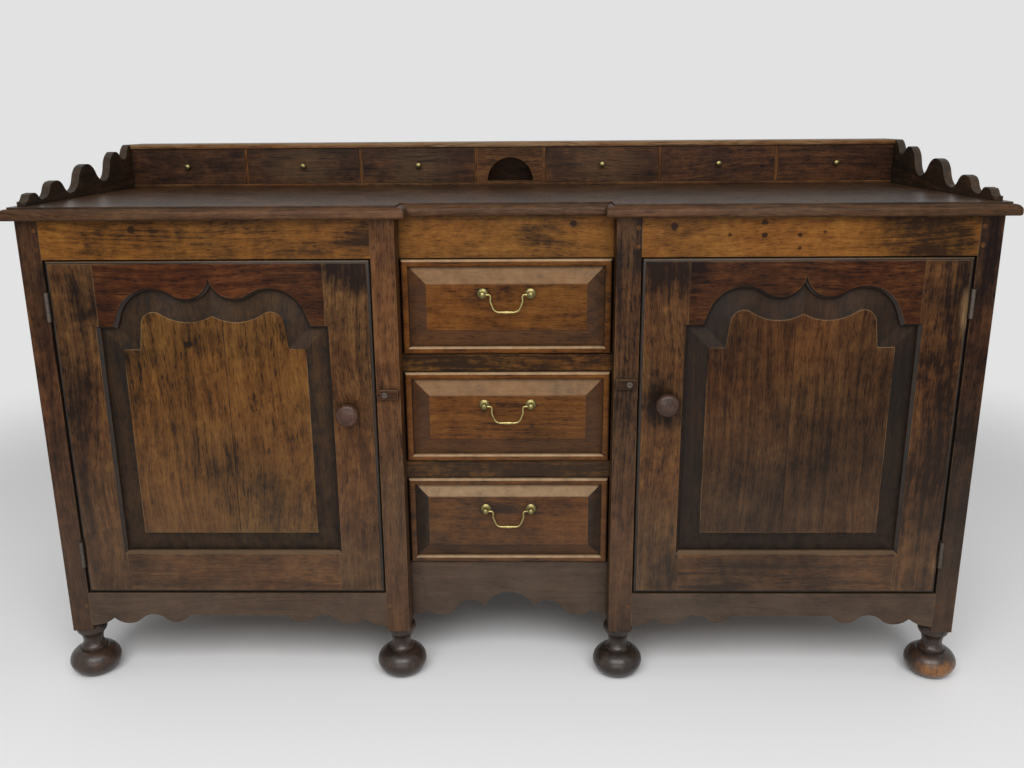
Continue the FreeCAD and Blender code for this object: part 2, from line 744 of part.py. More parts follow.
side_rails = []
side_panels = []
side_y = (outer_post_back_y, rear_post_y)
for side in SIDES:
    name = SIDE_NAMES[side]
    x = mirrored(side, side_in, half_width)
    posts = [post_name("outer", side), post_name("rear", side)]
    tongue_x = middle_third(*x)
    tongue_half = size("panel_thickness") / 2
    tongue_mid = (tongue_x[0] + tongue_x[1]) / 2
    tongue = size("panel_tongue")
    plate = box(
        f"{name}_side_plate",
        (tongue_mid - tongue_half, tongue_mid + tongue_half),
        (side_y[0] - tongue, side_y[1] + tongue),
        (apron_top - tongue, frieze_z + tongue),
    )
    for post in posts:
        cutters_of(post).append(plate)
    for part, z in (("low", (low_rail_z, apron_top)), ("high", (frieze_z, post_top))):
        blank = box(f"{name}_{part}_side_blank", x, side_y, z)
        tenons = tenons_along_y(f"{name}_{part}_side", x, side_y, z, posts)
        rail = fuse(f"{name}_{part}_side_tenoned", [blank] + tenons)
        side_rails.append(cut(f"{name}_{part}_side_rail", rail, [plate]))
    field = doc.addObject("Part::Wedge", f"{name}_side_field")
    bevel = size("side_bevel")
    wide = side_y[1] - side_y[0]
    tall = frieze_z - apron_top
    bind(field, {"Xmin": 0, "Xmax": wide, "Zmin": 0, "Zmax": tall, "Ymin": 0, "Ymax": size("field_rise")})
    bind(field, {"X2min": bevel, "X2max": wide - bevel, "Z2min": bevel, "Z2max": tall - bevel})
    outward = FreeCAD.Rotation(V(0, 0, 1), -90 * side)
    field.Placement = FreeCAD.Placement(V(), outward)
    start_y = side_y[1] if side == RIGHT else side_y[0]
    set_base(field, tongue_mid + tongue_half * side, start_y, apron_top)
    side_panels.append(fuse(f"{name}_side_panel", [plate, field]))
node("side_rails", group("side_rails_group", side_rails))
node("side_panels", group("side_panels_group", side_panels))


# Back: two rails between the rear posts, and upright boards nailed to them

back_rails = []
back_x = (-rear_post_in, rear_post_in)
back_rail_bounds = (back_rail_y, board_y)
rear_posts = [post_name("rear", LEFT), post_name("rear", RIGHT)]
for part, z in (("low", (low_rail_z, apron_top)), ("high", (back_frieze_z, post_top))):
    blank = box(f"{part}_back_blank", back_x, back_rail_bounds, z)
    tenons = tenons_along_x(f"{part}_back", back_x, back_rail_bounds, z, rear_posts)
    back_rails.append(fuse(f"{part}_back_rail", [blank] + tenons))
node("back_rails", group("back_rails_group", back_rails))

back_boards = []
pitch = rear_post_in * 2 / BACK_BOARD_COUNT
for number in range(BACK_BOARD_COUNT):
    low = number * pitch - rear_post_in
    last = number == BACK_BOARD_COUNT - 1
    x = (low, low + pitch if last else low + pitch - size("back_board_gap"))
    back_boards.append(box(f"back_board_{number + 1}", x, (board_y, back_y), (low_rail_z, post_top)))
node("back_boards", group("back_boards_group", back_boards))


# Feet: turned buns with a dowel up into each front post


def bun_foot(name, x):
    """One turned foot under a post."""
    collar_z = post_bottom - size("foot_collar")
    corners = [
        (ZERO, ZERO),
        (size("foot_floor_radius"), ZERO, size("bun_low_bow"), TO_RIGHT),
        (size("bun_radius"), size("bun_belly"), size("bun_high_bow"), TO_RIGHT),
        (size("bun_shoulder_radius"), size("bun_shoulder")),
        (size("foot_ring_radius"), size("bun_shoulder")),
        (size("foot_ring_radius"), size("foot_ring"), size("foot_neck_bow"), TO_LEFT),
        (size("foot_neck_radius"), size("foot_neck"), size("foot_flare_bow"), TO_LEFT),
        (size("foot_collar_radius"), collar_z, size("foot_collar_bow"), TO_RIGHT),
        (size("foot_collar_radius"), post_bottom),
        (size("foot_tenon_radius"), post_bottom),
        (size("foot_tenon_radius"), post_bottom + size("foot_tenon_length")),
        (ZERO, post_bottom + size("foot_tenon_length")),
    ]
    foot = turned(name, corners)
    return set_base(foot, x, front_y + size("foot_setback"), ZERO)


def foot_socket(name, x):
    """The hole in a post for a foot's dowel."""
    radius = size("foot_tenon_radius") + size("dry_fit")
    start = (x, front_y + size("foot_setback"), post_bottom)
    return rod(name, "z", radius, start, size("foot_tenon_length"))


feet = []
foot_places = {"inner": partition_mid, "outer": (cupboard_out + half_width) / 2}
for kind, distance in foot_places.items():
    for side in SIDES:
        post = post_name(kind, side)
        feet.append(bun_foot(post + "_foot", distance * side))
        cutters_of(post).append(foot_socket(post + "_socket", distance * side))
node("bun_feet", group("bun_feet_group", feet))


# Turn buttons: each turns on a screw in its inner post, and at rest points away from its door

button_heights = {LEFT: size("left_button_height"), RIGHT: size("right_button_height")}
button_back_y = place("button_back_y", front_y - size("button_play"))
button_front_y = place("button_front_y", button_back_y - size("button_thickness"))
screw_head_y = place("screw_head_y", button_front_y - size("button_play"))
doc.recompute()
screws = []
for side in SIDES:
    name = f"{SIDE_NAMES[side]}_turn_button"
    pivot_x = (cupboard_in - size("button_inset")) * side
    pivot_z = button_heights[side]
    half = size("button_width") / 2
    tip_x = pivot_x - size("button_tip") * side
    bar_x = (tip_x, pivot_x) if side == RIGHT else (pivot_x, tip_x)
    bar_y = (button_front_y, button_back_y)
    bar = box(name + "_bar", bar_x, bar_y, (pivot_z - half, pivot_z + half))
    tail_x = pivot_x + (size("button_tail") - half) * side
    neck_x = (pivot_x, tail_x) if side == RIGHT else (tail_x, pivot_x)
    neck = box(name + "_neck", neck_x, bar_y, (pivot_z - half, pivot_z + half))
    tail = rod(name + "_tail", "y", half, (tail_x, button_front_y, pivot_z), size("button_thickness"))
    bore_radius = size("screw_radius") + size("button_fit")
    bore = rod(name + "_bore", "y", bore_radius, (pivot_x, button_front_y, pivot_z), size("button_thickness"))
    node(name, cut(name + "_bored", fuse(name + "_blank", [bar, neck, tail]), [bore]))
    shank_length = front_y - screw_head_y + size("screw_depth")
    shank = rod(name + "_shank", "y", size("screw_radius"), (pivot_x, screw_head_y, pivot_z), shank_length)
    head_y = screw_head_y - size("screw_head")
    head = rod(name + "_head", "y", size("screw_head_radius"), (pivot_x, head_y, pivot_z), size("screw_head"))
    slot_x = (pivot_x - size("screw_head_radius"), pivot_x + size("screw_head_radius"))
    slot_z = (pivot_z - size("screw_slot") / 2, pivot_z + size("screw_slot") / 2)
    slot = box(name + "_slot", slot_x, (head_y, head_y + size("screw_slot_depth")), slot_z)
    screws.append(cut(name + "_screw", fuse(name + "_screw_blank", [shank, head]), [slot]))
    hole_radius = size("screw_radius") + size("dry_fit")
    hole = rod(name + "_hole", "y", hole_radius, (pivot_x, front_y, pivot_z), size("screw_depth"))
    cutters_of(post_name("inner", side)).append(hole)
node("turn_button_screws", group("turn_button_screws_group", screws))


# Posts, cut for everything that enters them

post_bounds = {
    "outer": (cupboard_out, half_width, front_y, outer_post_back_y, post_bottom),
    "inner": (bay_half, cupboard_in, front_y, inner_post_back_y, post_bottom),
    "rear": (rear_post_in, half_width, rear_post_y, back_y, ZERO),
}
for kind, (near, far, low_y, high_y, bottom) in post_bounds.items():
    posts = []
    for side in SIDES:
        post = post_name(kind, side)
        blank = box(post + "_blank", mirrored(side, near, far), (low_y, high_y), (bottom, post_top))
        posts.append(cut(post, blank, cutters_of(post)))
    node(f"{kind}_posts", group(f"{kind}_posts_group", posts))
node("joint_pegs", group("joint_pegs_group", pegs))


# Inside: partitions, cupboard floors and shelves, drawer runners, and the strips that carry them

partitions = []
floors = []
shelves = []
strips = []
floor_z = (apron_top - size("floor_thickness"), apron_top)
shelf_z = (size("shelf_height") - size("shelf_thickness"), size("shelf_height"))
shelf_y = (front_y + size("shelf_setback"), rear_post_y)
inside_y = (inner_post_back_y, back_rail_y)
bearer = size("bearer_size")
drawer_half = place("drawer_half", bay_half - size("drawer_side_gap"))
doc.recompute()
for side in SIDES:
    name = SIDE_NAMES[side]
    x = mirrored(side, partition_in, partition_out)
    partitions.append(box(f"{name}_partition", x, inside_y, (low_rail_z, post_top)))

    blank_x = mirrored(side, partition_out, side_in)
    blank = box(f"{name}_floor_blank", blank_x, (rail_back_y, back_rail_y), floor_z)
    notch_bounds = {
        "inner": (mirrored(side, partition_out, cupboard_in), (rail_back_y, inner_post_back_y)),
        "outer": (mirrored(side, cupboard_out, side_in), (rail_back_y, outer_post_back_y)),
        "rear": (mirrored(side, rear_post_in, side_in), (rear_post_y, back_rail_y)),
    }
    notches = [box(f"{name}_floor_{kind}_notch", x, y, floor_z) for kind, (x, y) in notch_bounds.items()]
    floors.append(cut(f"{name}_floor", blank, notches))
    under_floor = (floor_z[0] - bearer, floor_z[0])
    front_strip = (rail_back_y, rail_back_y + bearer)
    strip_x = mirrored(side, cupboard_in, cupboard_out)
    strips.append(box(f"{name}_floor_bearer_front", strip_x, front_strip, under_floor))
    strip_x = mirrored(side, partition_out, rear_post_in)
    strips.append(box(f"{name}_floor_bearer_back", strip_x, (back_rail_y - bearer, back_rail_y), under_floor))

    shelves.append(box(f"{name}_shelf", mirrored(side, partition_out, side_in), shelf_y, shelf_z))
    under_shelf = (shelf_z[0] - bearer, shelf_z[0])
    strip_x = mirrored(side, partition_out, partition_out + bearer)
    strips.append(box(f"{name}_shelf_bearer_in", strip_x, shelf_y, under_shelf))
    strip_x = mirrored(side, side_in - bearer, side_in)
    strips.append(box(f"{name}_shelf_bearer_out", strip_x, (outer_post_back_y, rear_post_y), under_shelf))

    runner_x = mirrored(side, partition_in - size("runner_width"), partition_in)
    guide_x = mirrored(side, drawer_half + size("guide_gap"), partition_in)
    guide_y = (inner_post_back_y, back_rail_y)
    runner_y = (recess_back_y, back_rail_y)
    for bottom, part in zip(opening_bottoms, DRAWER_NAMES):
        free_x = mirrored(side, partition_in - size("runner_width"), bay_half)
        lip = box(f"{name}_{part}_runner_lip", free_x, runner_y, (bottom - size("runner_height"), bottom))
        runner = box(f"{name}_{part}_runner_bar", runner_x, guide_y, (bottom - size("runner_height"), bottom))
        guide = box(f"{name}_{part}_guide", guide_x, guide_y, (bottom, bottom + size("guide_height")))
        strips.append(fuse(f"{name}_{part}_runner", [lip, runner, guide]))
    kicker_z = (opening_tops[0], opening_tops[0] + size("runner_height"))
    strips.append(box(f"{name}_kicker", runner_x, guide_y, kicker_z))
node("partitions", group("partitions_group", partitions))
node("floor_boards", group("floor_boards_group", floors))
node("cupboard_shelves", group("cupboard_shelves_group", shelves))
node("runners_and_bearers", group("runners_and_bearers_group", strips))


# Worktop: the edge is a round nose under a small step, and it follows the recess of the drawer bank


def worktop():
    """The worktop, with its moulding on the front and the ends."""
    over = size("top_overhang")
    inset = size("top_step_inset")
    step_z = top_z - size("top_step")
    nose_y = front_y - over
    notch_half = bay_half - over
    notch_y = nose_y + size("recess")
    end_x = half_width + over
    slab = box("top_slab", (-end_x, end_x), (nose_y, back_y), (post_top, step_z))
    notch = box("top_notch", (-notch_half, notch_half), (nose_y, notch_y), (post_top, step_z))
    notched = cut("top_notched", slab, [notch])

    def upper_edge(edge):
        return lies_at(edge, "Z", step_z.value) and not lies_at(edge, "Y", back_y.value)

    def lower_edge(edge):
        return lies_at(edge, "Z", post_top.value) and not lies_at(edge, "Y", back_y.value)

    nosed = round_edges("top_nosed", notched, size("top_nose_radius"), upper_edge)
    rounded = round_edges("top_rounded", nosed, size("top_under_radius"), lower_edge)
    field_x = (inset - end_x, end_x - inset)
    field = box("top_field", field_x, (nose_y + inset, back_y), (step_z, top_z))
    gap_x = (-notch_half - inset, notch_half + inset)
    gap = box("top_field_notch", gap_x, (nose_y + inset, notch_y + inset), (step_z, top_z))
    return fuse("worktop", [rounded, cut("top_field_notched", field, [gap])])


node("top_board", worktop())


# Gallery: a wave-edged board on each end of the worktop


def gallery_side(side):
    """Four waves that climb to the top of the spice case; each rises steeply and falls slowly."""
    name = f"{SIDE_NAMES[side]}_gallery"
    length = size("carcass_depth") - size("gallery_setback")
    case_top = size("spice_base") + size("spice_height") + size("spice_top")
    case_start = length - size("spice_depth") - size("spice_nosing")
    corners = [
        (ZERO, ZERO),
        (length, ZERO),
        (length, case_top),
        (case_start, case_top, size("gallery_end_bow"), TO_RIGHT),
    ]
    waves = []
    start = ZERO
    for number in range(1, 5):
        span = size(f"wave_{number}_length")
        crest = (start + span * size("wave_front"), size(f"wave_{number}_crest"))
        valley = (start + span, size(f"wave_{number}_valley"))
        waves.append((crest, valley))
        start = valley[0]
    for number in range(len(waves) - 1, -1, -1):
        crest, valley = waves[number]
        front = waves[number - 1][1] if number else (ZERO, size("gallery_front_height"))
        fall_middle = ((crest[0] + valley[0]) / 2, (crest[1] + valley[1]) / 2)
        rise_middle = ((crest[0] + front[0]) / 2, (crest[1] + front[1]) / 2)
        fall_bow = (valley[0] - crest[0]) * size("wave_fall_bow")
        rise_bow = (crest[0] - front[0]) * size("wave_rise_bow")
        corners.append((valley[0], valley[1], fall_bow, TO_LEFT))
        corners.append((fall_middle[0], fall_middle[1], fall_bow, TO_RIGHT))
        corners.append((crest[0], crest[1], rise_bow, TO_RIGHT))
        corners.append((rise_middle[0], rise_middle[1], rise_bow, TO_LEFT))
    corners.append((ZERO, size("gallery_front_height")))
    board = sawn(name, "YZ_Plane", corners, size("gallery_thickness"), False)
    x = mirrored(side, half_width - size("gallery_thickness"), half_width)
    return set_base(board, x[0], front_y + size("gallery_setback"), top_z)


node("gallery_sides", group("gallery_sides_group", [gallery_side(side) for side in SIDES]))


# Spice case: base, top and back between the gallery sides, six dividers and an arched pigeonhole

case_half = place("case_half", half_width - size("gallery_thickness"))
case_y = place("case_y", back_y - size("spice_depth"))
case_nose_y = place("case_nose_y", case_y - size("spice_nosing"))
case_back_y = place("case_back_y", back_y - size("spice_back"))
case_floor = place("case_floor", top_z + size("spice_base"))
case_ceiling = place("case_ceiling", case_floor + size("spice_height"))
case_top_z = place("case_top_z", case_ceiling + size("spice_top"))
divider_half = size("divider_thickness") / 2
first_divider = size("pigeonhole_width") / 2
divider_pitch = place("divider_pitch", (case_half - first_divider) / SPICE_DRAWERS_PER_SIDE)
doc.recompute()
case_x = (-case_half, case_half)
case_boards = [
    box("spice_base_board", case_x, (case_nose_y, back_y), (top_z, case_floor)),
    box("spice_back_board", case_x, (case_back_y, back_y), (case_floor, case_ceiling)),
    box("spice_top_board", case_x, (case_nose_y, back_y), (case_ceiling, case_top_z)),
]
node("spice_case_boards", group("spice_case_boards_group", case_boards))

dividers = []
for side in SIDES:
    for number in range(SPICE_DRAWERS_PER_SIDE):
        middle = first_divider + divider_pitch * number
        x = mirrored(side, middle - divider_half, middle + divider_half)
        name = f"{SIDE_NAMES[side]}_divider_{number}"
        dividers.append(box(name, x, (case_y, case_back_y), (case_floor, case_ceiling)))
node("spice_case_dividers", group("spice_case_dividers_group", dividers))

hole_half = first_divider - divider_half
hole_y = (case_y, case_y + size("pigeonhole_front"))
arch_z = case_floor + size("pigeonhole_sill")
hole_board = box("pigeonhole_board", (-hole_half, hole_half), hole_y, (case_floor, case_ceiling))
arch_start = (ZERO, case_y, arch_z)
arch_round = rod("pigeonhole_round", "y", size("pigeonhole_radius"), arch_start, size("pigeonhole_front"))
arch_block_x = (-size("pigeonhole_radius"), size("pigeonhole_radius"))
arch_block = box("pigeonhole_block", arch_block_x, hole_y, (arch_z, case_ceiling))
arch_cutter = common("pigeonhole_arch", arch_round, arch_block)
node("pigeonhole_front", cut("pigeonhole_arched", hole_board, [arch_cutter]))


# Spice drawers, numbered from the left


def spice_knob(name, x, z):
    """A small brass knob with a stem through the drawer's front."""
    stem = size("spice_knob_stem")
    through = size("spice_front")
    corners = [
        (ZERO, ZERO),
        (stem, ZERO),
        (stem, through),
        (size("spice_knob_foot_radius"), through),
        (size("spice_knob_neck_radius"), through + size("spice_knob_neck")),
        (size("spice_knob_radius"), through + size("spice_knob_rim"), size("spice_knob_bow"), TO_RIGHT),
        (size("spice_knob_face_radius"), through + size("spice_knob_face")),
        (size("spice_knob_crown_radius"), through + size("spice_knob_crown")),
        (ZERO, through + size("spice_knob_reach")),
    ]
    knob = turned(name, corners)
    knob.Placement = FreeCAD.Placement(V(), FreeCAD.Rotation(V(1, 0, 0), 90))
    return set_base(knob, x, case_y + size("spice_front"), z)


def spice_drawer(number, side, place_in_row):
    """One spice drawer: front, sides, back and bottom."""
    name = f"spice_{number}"
    gap = size("spice_gap")
    near = first_divider + divider_pitch * place_in_row + divider_half + gap
    at_end = place_in_row == SPICE_DRAWERS_PER_SIDE - 1
    end = case_half if at_end else first_divider + divider_pitch * (place_in_row + 1) - divider_half
    far = end - gap
    wall = size("spice_side")
    front_z = (case_floor + size("running_gap"), case_ceiling - gap)
    back_end = case_back_y - size("spice_back_gap")
    front_back = case_y + size("spice_front")
    side_z = (front_z[0], case_ceiling - size("spice_side_drop"))
    knob_x = (near + far) / 2 * side
    knob_z = (case_floor + case_ceiling) / 2
    stem = size("spice_knob_stem") + size("dry_fit")
    hole = rod(name + "_hole", "y", stem, (knob_x, case_y, knob_z), size("spice_front"))
    blank = box(name + "_front_blank", mirrored(side, near, far), (case_y, front_back), front_z)
    inner_x = mirrored(side, near + wall, far - wall)
    bottom_z = (front_z[0], front_z[0] + size("spice_bottom"))
    pieces = [
        cut(name + "_front", blank, [hole]),
        box(name + "_side_in", mirrored(side, near, near + wall), (front_back, back_end), side_z),
        box(name + "_side_out", mirrored(side, far - wall, far), (front_back, back_end), side_z),
        box(name + "_back", inner_x, (back_end - wall, back_end), side_z),
        box(name + "_bottom", inner_x, (front_back, back_end - wall), bottom_z),
    ]
    node(f"spice_drawer_{number}", group(name + "_drawer_group", pieces))
    node(f"spice_knob_{number}", spice_knob(name + "_knob_body", knob_x, knob_z))


spice_rows = [(LEFT, k) for k in range(SPICE_DRAWERS_PER_SIDE - 1, -1, -1)]
spice_rows += [(RIGHT, k) for k in range(SPICE_DRAWERS_PER_SIDE)]
for number, (side, place_in_row) in enumerate(spice_rows, start=1):
    spice_drawer(number, side, place_in_row)


# Drawers: a moulded front with a raised field, a plain box behind it, and a swan-neck handle

bead_y = place("bead_y", recess_y - size("drawer_proud"))
bevel_y = place("bevel_y", bead_y + size("drawer_bead_depth"))
field_y = place("field_y", bead_y + size("drawer_field_depth"))
front_back_y = place("front_back_y", bevel_y + size("drawer_front_thickness"))
drawer_end_y = place("drawer_end_y", back_rail_y - size("drawer_back_gap"))
bail_y = place("bail_y", field_y - size("handle_reach"))
doc.recompute()
post_places = [size("handle_spacing") / 2 * side for side in SIDES]


def drawer_front(name, x, z, handle_z):
    """The front: a plate with a rounded rim and a bevel up to the raised field."""
    bead = size("drawer_bead_width")
    plate = box(name + "_plate", x, (bevel_y, front_back_y), z)
    rim_outer = box(name + "_rim_outer", x, (bead_y, bevel_y), z)
    inner_x = (x[0] + bead, x[1] - bead)
    inner_z = (z[0] + bead, z[1] - bead)
    rim_inner = box(name + "_rim_inner", inner_x, (bead_y, bevel_y), inner_z)
    rim = cut(name + "_rim", rim_outer, [rim_inner])

    def front_edge(edge):
        return lies_at(edge, "Y", bead_y.value)

    rounded = round_edges(name + "_bead", rim, size("drawer_bead_radius"), front_edge)
    slope = doc.addObject("Part::Wedge", name + "_slope")
    wide = inner_x[1] - inner_x[0]
    tall = inner_z[1] - inner_z[0]
    bevel = size(name + "_bevel")
    step_y = field_y + size("drawer_field_step")
    bind(slope, {"Xmin": 0, "Xmax": wide, "Zmin": 0, "Zmax": tall, "Ymin": 0, "Ymax": bevel_y - step_y})
    bind(slope, {"X2min": bevel, "X2max": wide - bevel, "Z2min": bevel, "Z2max": tall - bevel})
    slope.Placement = FreeCAD.Placement(V(), FreeCAD.Rotation(V(0, 0, 1), 180))
    set_base(slope, inner_x[1], bevel_y, inner_z[0])
    field_x = (inner_x[0] + bevel, inner_x[1] - bevel)
    field_z = (inner_z[0] + bevel, inner_z[1] - bevel)
    field = box(name + "_field", field_x, (field_y, step_y), field_z)
    radius = size("shank_radius") + size("dry_fit")
    depth = front_back_y - field_y
    holes = []
    for number, post_x in enumerate(post_places):
        holes.append(rod(f"{name}_shank_hole_{number}", "y", radius, (post_x, field_y, handle_z), depth))
    return cut(name + "_solid", fuse(name + "_blank", [plate, rounded, slope, field]), holes)


def drawer_box(name, bottom_z, top_z_of_opening):
    """Two sides, a back and a bottom behind the front."""
    wall = size("drawer_side_thickness")
    z = (bottom_z + size("running_gap"), top_z_of_opening - size("drawer_side_drop"))
    y = (front_back_y, drawer_end_y)
    floor_low = z[0] + size("drawer_bottom_lift")
    inner_x = (wall - drawer_half, drawer_half - wall)
    floor_bounds = (floor_low, floor_low + size("drawer_bottom_thickness"))
    pieces = []
    for side in SIDES:
        side_x = mirrored(side, drawer_half - wall, drawer_half)
        pieces.append(box(f"{name}_{SIDE_NAMES[side]}_side", side_x, y, z))
    pieces.append(box(name + "_back", inner_x, (drawer_end_y - wall, drawer_end_y), z))
    pieces.append(box(name + "_bottom", inner_x, (front_back_y, drawer_end_y - wall), floor_bounds))
    return group(name + "_group", pieces)


def handle_post(name, x, z):
    """A brass post: rosette, neck and ball, with a shank through the drawer's front and a nut behind it."""
    shank = size("shank_radius")
    ball = size("handle_ball_radius")
    through = front_back_y - field_y + size("nut_thickness")
    rosette_z = through + size("rosette_thickness")
    axis_z = through + size("handle_reach")
    neck = size("handle_neck_radius")
    corners = [
        (ZERO, ZERO),
        (shank, ZERO),
        (shank, through),
        (size("rosette_radius"), through, size("rosette_bow"), TO_RIGHT),
        (neck, rosette_z),
        (neck, axis_z - size("handle_ball_foot")),
        (ball, axis_z, size("handle_ball_bow"), TO_RIGHT),
        (size("handle_ball_face_radius"), axis_z + size("handle_ball_face")),
        (size("handle_ball_crown_radius"), axis_z + size("handle_ball_crown")),
        (ZERO, axis_z + size("handle_ball_tip")),
    ]
    post = turned(name + "_turned", corners)
    post.Placement = FreeCAD.Placement(V(), FreeCAD.Rotation(V(1, 0, 0), 90))
    set_base(post, x, front_back_y + size("nut_thickness"), z)
    reach = size("bail_pin") + size("rosette_radius")
    start_x = x - (size("bail_pin") if x.value < 0 else size("rosette_radius"))
    bore = rod(name + "_bore", "x", size("bail_radius") + size("bail_fit"), (start_x, bail_y, z), reach)
    nut = rod(name + "_nut_blank", "y", size("nut_radius"), (x, front_back_y, z), size("nut_thickness"))
    nut_radius = shank + size("dry_fit")
    nut_hole = rod(name + "_nut_hole", "y", nut_radius, (x, front_back_y, z), size("nut_thickness"))
    return [cut(name + "_bored", post, [bore]), cut(name + "_nut", nut, [nut_hole])]


def rounded_path(points, radii):
    """A wire through the points, with each inner corner rounded to its radius."""
    edges = []
    start = points[0]
    for before, corner, after, radius in zip(points, points[1:], points[2:], radii):
        back = before.sub(corner).normalize()
        ahead = after.sub(corner).normalize()
        turn = math.pi - back.getAngle(ahead)
        reach = radius * math.tan(turn / 2)
        first = corner + back * reach
        last = corner + ahead * reach
        halfway = (back + ahead).normalize()
        middle = corner + halfway * (radius / math.cos(turn / 2) - radius)
        edges.append(Part.LineSegment(start, first).toShape())
        edges.append(Part.Arc(first, middle, last).toShape())
        start = last
    edges.append(Part.LineSegment(start, points[-1]).toShape())
    return Part.Wire(edges)


def bail(name, z):
    """The swan-neck bail, hanging: round wire with a grip that thickens to the middle."""
    half = size("handle_spacing").value / 2
    y = bail_y.value
    pin = half + size("bail_pin").value - size("bail_end_play").value
    drop = size("bail_drop").value
    half_points = [
        V(-pin, y, z.value),
        V(size("bail_arm").value - half, y, z.value),
        V(size("bail_waist").value - half, y, z.value - size("bail_waist_drop").value),
        V(size("bail_hip").value - half, y, z.value - drop),
    ]
    points = half_points + [V(-p.x, p.y, p.z) for p in reversed(half_points)]
    neck_bend = size("bail_neck_bend").value
    hip_bend = size("bail_hip_bend").value
    path = rounded_path(points, [neck_bend, neck_bend, hip_bend, hip_bend, neck_bend, neck_bend])
    radius = size("bail_radius").value
    ring = Part.Wire(Part.makeCircle(radius, points[0], V(1, 0, 0)))
    wire = path.makePipeShell([ring], True, True)
    lean = half_points[3].sub(half_points[2]).getAngle(V(1, 0, 0))
    grip = half - size("bail_hip").value - hip_bend * math.tan(lean / 2)
    thick = size("bail_grip_radius").value
    low = z.value - drop
    halves = [Part.makeCone(thick, radius, grip, V(0, y, low), V(hand, 0, 0)) for hand in SIDES]
    return shape_feature(name, wire.fuse(halves).removeSplitter())


for part, bottom, top in zip(DRAWER_NAMES, opening_bottoms, opening_tops):
    name = f"{part}_drawer"
    handle_z = place(f"{part}_handle_z", bottom + size("handle_height"))
    doc.recompute()
    front_x = (-drawer_half, drawer_half)
    front_z = (bottom + size("drawer_gap"), top - size("drawer_gap"))
    node(name + "_front", drawer_front(name, front_x, front_z, handle_z))
    node(name + "_box", drawer_box(name + "_case", bottom, top))
    handle = []
    for side, post_x in zip(SIDES, post_places):
        handle += handle_post(f"{name}_{SIDE_NAMES[side]}_handle", post_x, handle_z)
    node(name + "_handle_posts", group(name + "_handle_group", handle))
    node(name + "_bail", bail(name + "_bail_wire", handle_z))


# Doors: stiles and rails round an arched opening, with a raised and fielded panel

door_in = place("door_in", cupboard_in + size("door_gap"))
door_out = place("door_out", cupboard_out - size("hinge_gap"))
door_low = place("door_low", apron_top + size("door_gap"))
door_high = place("door_high", frieze_z - size("door_gap"))
door_mid = place("door_mid", (door_in + door_out) / 2)
door_back_y = place("door_back_y", front_y + size("door_thickness"))
hole_in = place("hole_in", door_in + size("door_stile_width"))
hole_out = place("hole_out", door_out - size("door_stile_width"))
hole_low = place("hole_low", door_low + size("door_bottom_rail"))
shoulder_z = place("shoulder_z", door_high - size("door_shoulder_drop"))
hinge_x = place("hinge_x", (cupboard_out + door_out) / 2)
hinge_y = place("hinge_y", front_y - size("hinge_reach"))
doc.recompute()


class Arch:
    """The arched opening: two lobes and two dips that meet in a cusp; all measured from the door's middle."""

    def __init__(self):
        self.half = (hole_out.value - hole_in.value) / 2
        self.neck = self.half - size("door_shoulder_width").value
        self.lobe_x = self.neck * size("lobe_share").value
        self.dip_x = self.neck * size("dip_share").value
        self.lobe_radius = self.neck - self.lobe_x - size("door_spring").value
        self.lobe_z = door_high.value - size("door_lobe_drop").value - self.lobe_radius
        self.cusp_z = door_high.value - size("door_cusp_drop").value
        self.dip_radius, self.dip_z = self.touching_dip()

    def touching_dip(self):
        """Radius and height of the dip's circle, which passes through the cusp and touches the lobe."""
        rise = self.cusp_z - self.lobe_z
        spread = (self.lobe_x - self.dip_x) ** 2 - self.dip_x**2
        radius = self.lobe_radius
        slope = rise / radius
        offset = (rise * rise + spread - radius * radius) / (2 * radius)
        square = slope * slope - 1
        mixed = slope * offset
        root = math.sqrt(mixed * mixed - square * (offset * offset - self.dip_x**2))
        height = (root - mixed) / square
        return math.hypot(self.dip_x, height), self.cusp_z + height

    def wire(self, middle, inset, y):
        """The closed outline, moved inwards by the inset, at one depth."""
        lobe_radius = self.lobe_radius - inset
        dip_radius = self.dip_radius + inset
        half = self.half - inset
        neck = self.neck - inset
        low = hole_low.value + inset
        shoulder = shoulder_z.value - inset
        cusp = self.dip_z - math.sqrt(dip_radius**2 - self.dip_x**2)
        share = dip_radius / (dip_radius + lobe_radius)
        join_x = self.dip_x + (self.lobe_x - self.dip_x) * share
        join_z = self.dip_z + (self.lobe_z - self.dip_z) * share
        away_x = neck - self.lobe_x
        away_z = shoulder - self.lobe_z
        turn = math.atan2(away_z, away_x) + math.acos(lobe_radius / math.hypot(away_x, away_z))
        touch_x = self.lobe_x + lobe_radius * math.cos(turn)
        touch_z = self.lobe_z + lobe_radius * math.sin(turn)

        def at(x, z):
            return V(middle + x, y, z)

        def half_edges(hand):
            corner = at(hand * half, low)
            shoulder_end = at(hand * half, shoulder)
            neck_end = at(hand * neck, shoulder)
            touch = at(hand * touch_x, touch_z)
            crest = at(hand * self.lobe_x, self.lobe_z + lobe_radius)
            join = at(hand * join_x, join_z)
            dip = at(hand * self.dip_x, self.dip_z - dip_radius)
            return [
                Part.LineSegment(corner, shoulder_end),
                Part.LineSegment(shoulder_end, neck_end),
                Part.LineSegment(neck_end, touch),
                Part.Arc(touch, crest, join),
                Part.Arc(join, dip, at(0, cusp)),
            ]

        sill = Part.LineSegment(at(-half, low), at(half, low))
        around = [sill] + half_edges(RIGHT) + half_edges(LEFT)[::-1]
        return Part.Wire(Part.__sortEdges__([curve.toShape() for curve in around]))


arch = Arch()


def prism(wire, depth):
    """The solid behind an outline."""
    return Part.Face(wire).extrude(V(0, depth, 0))


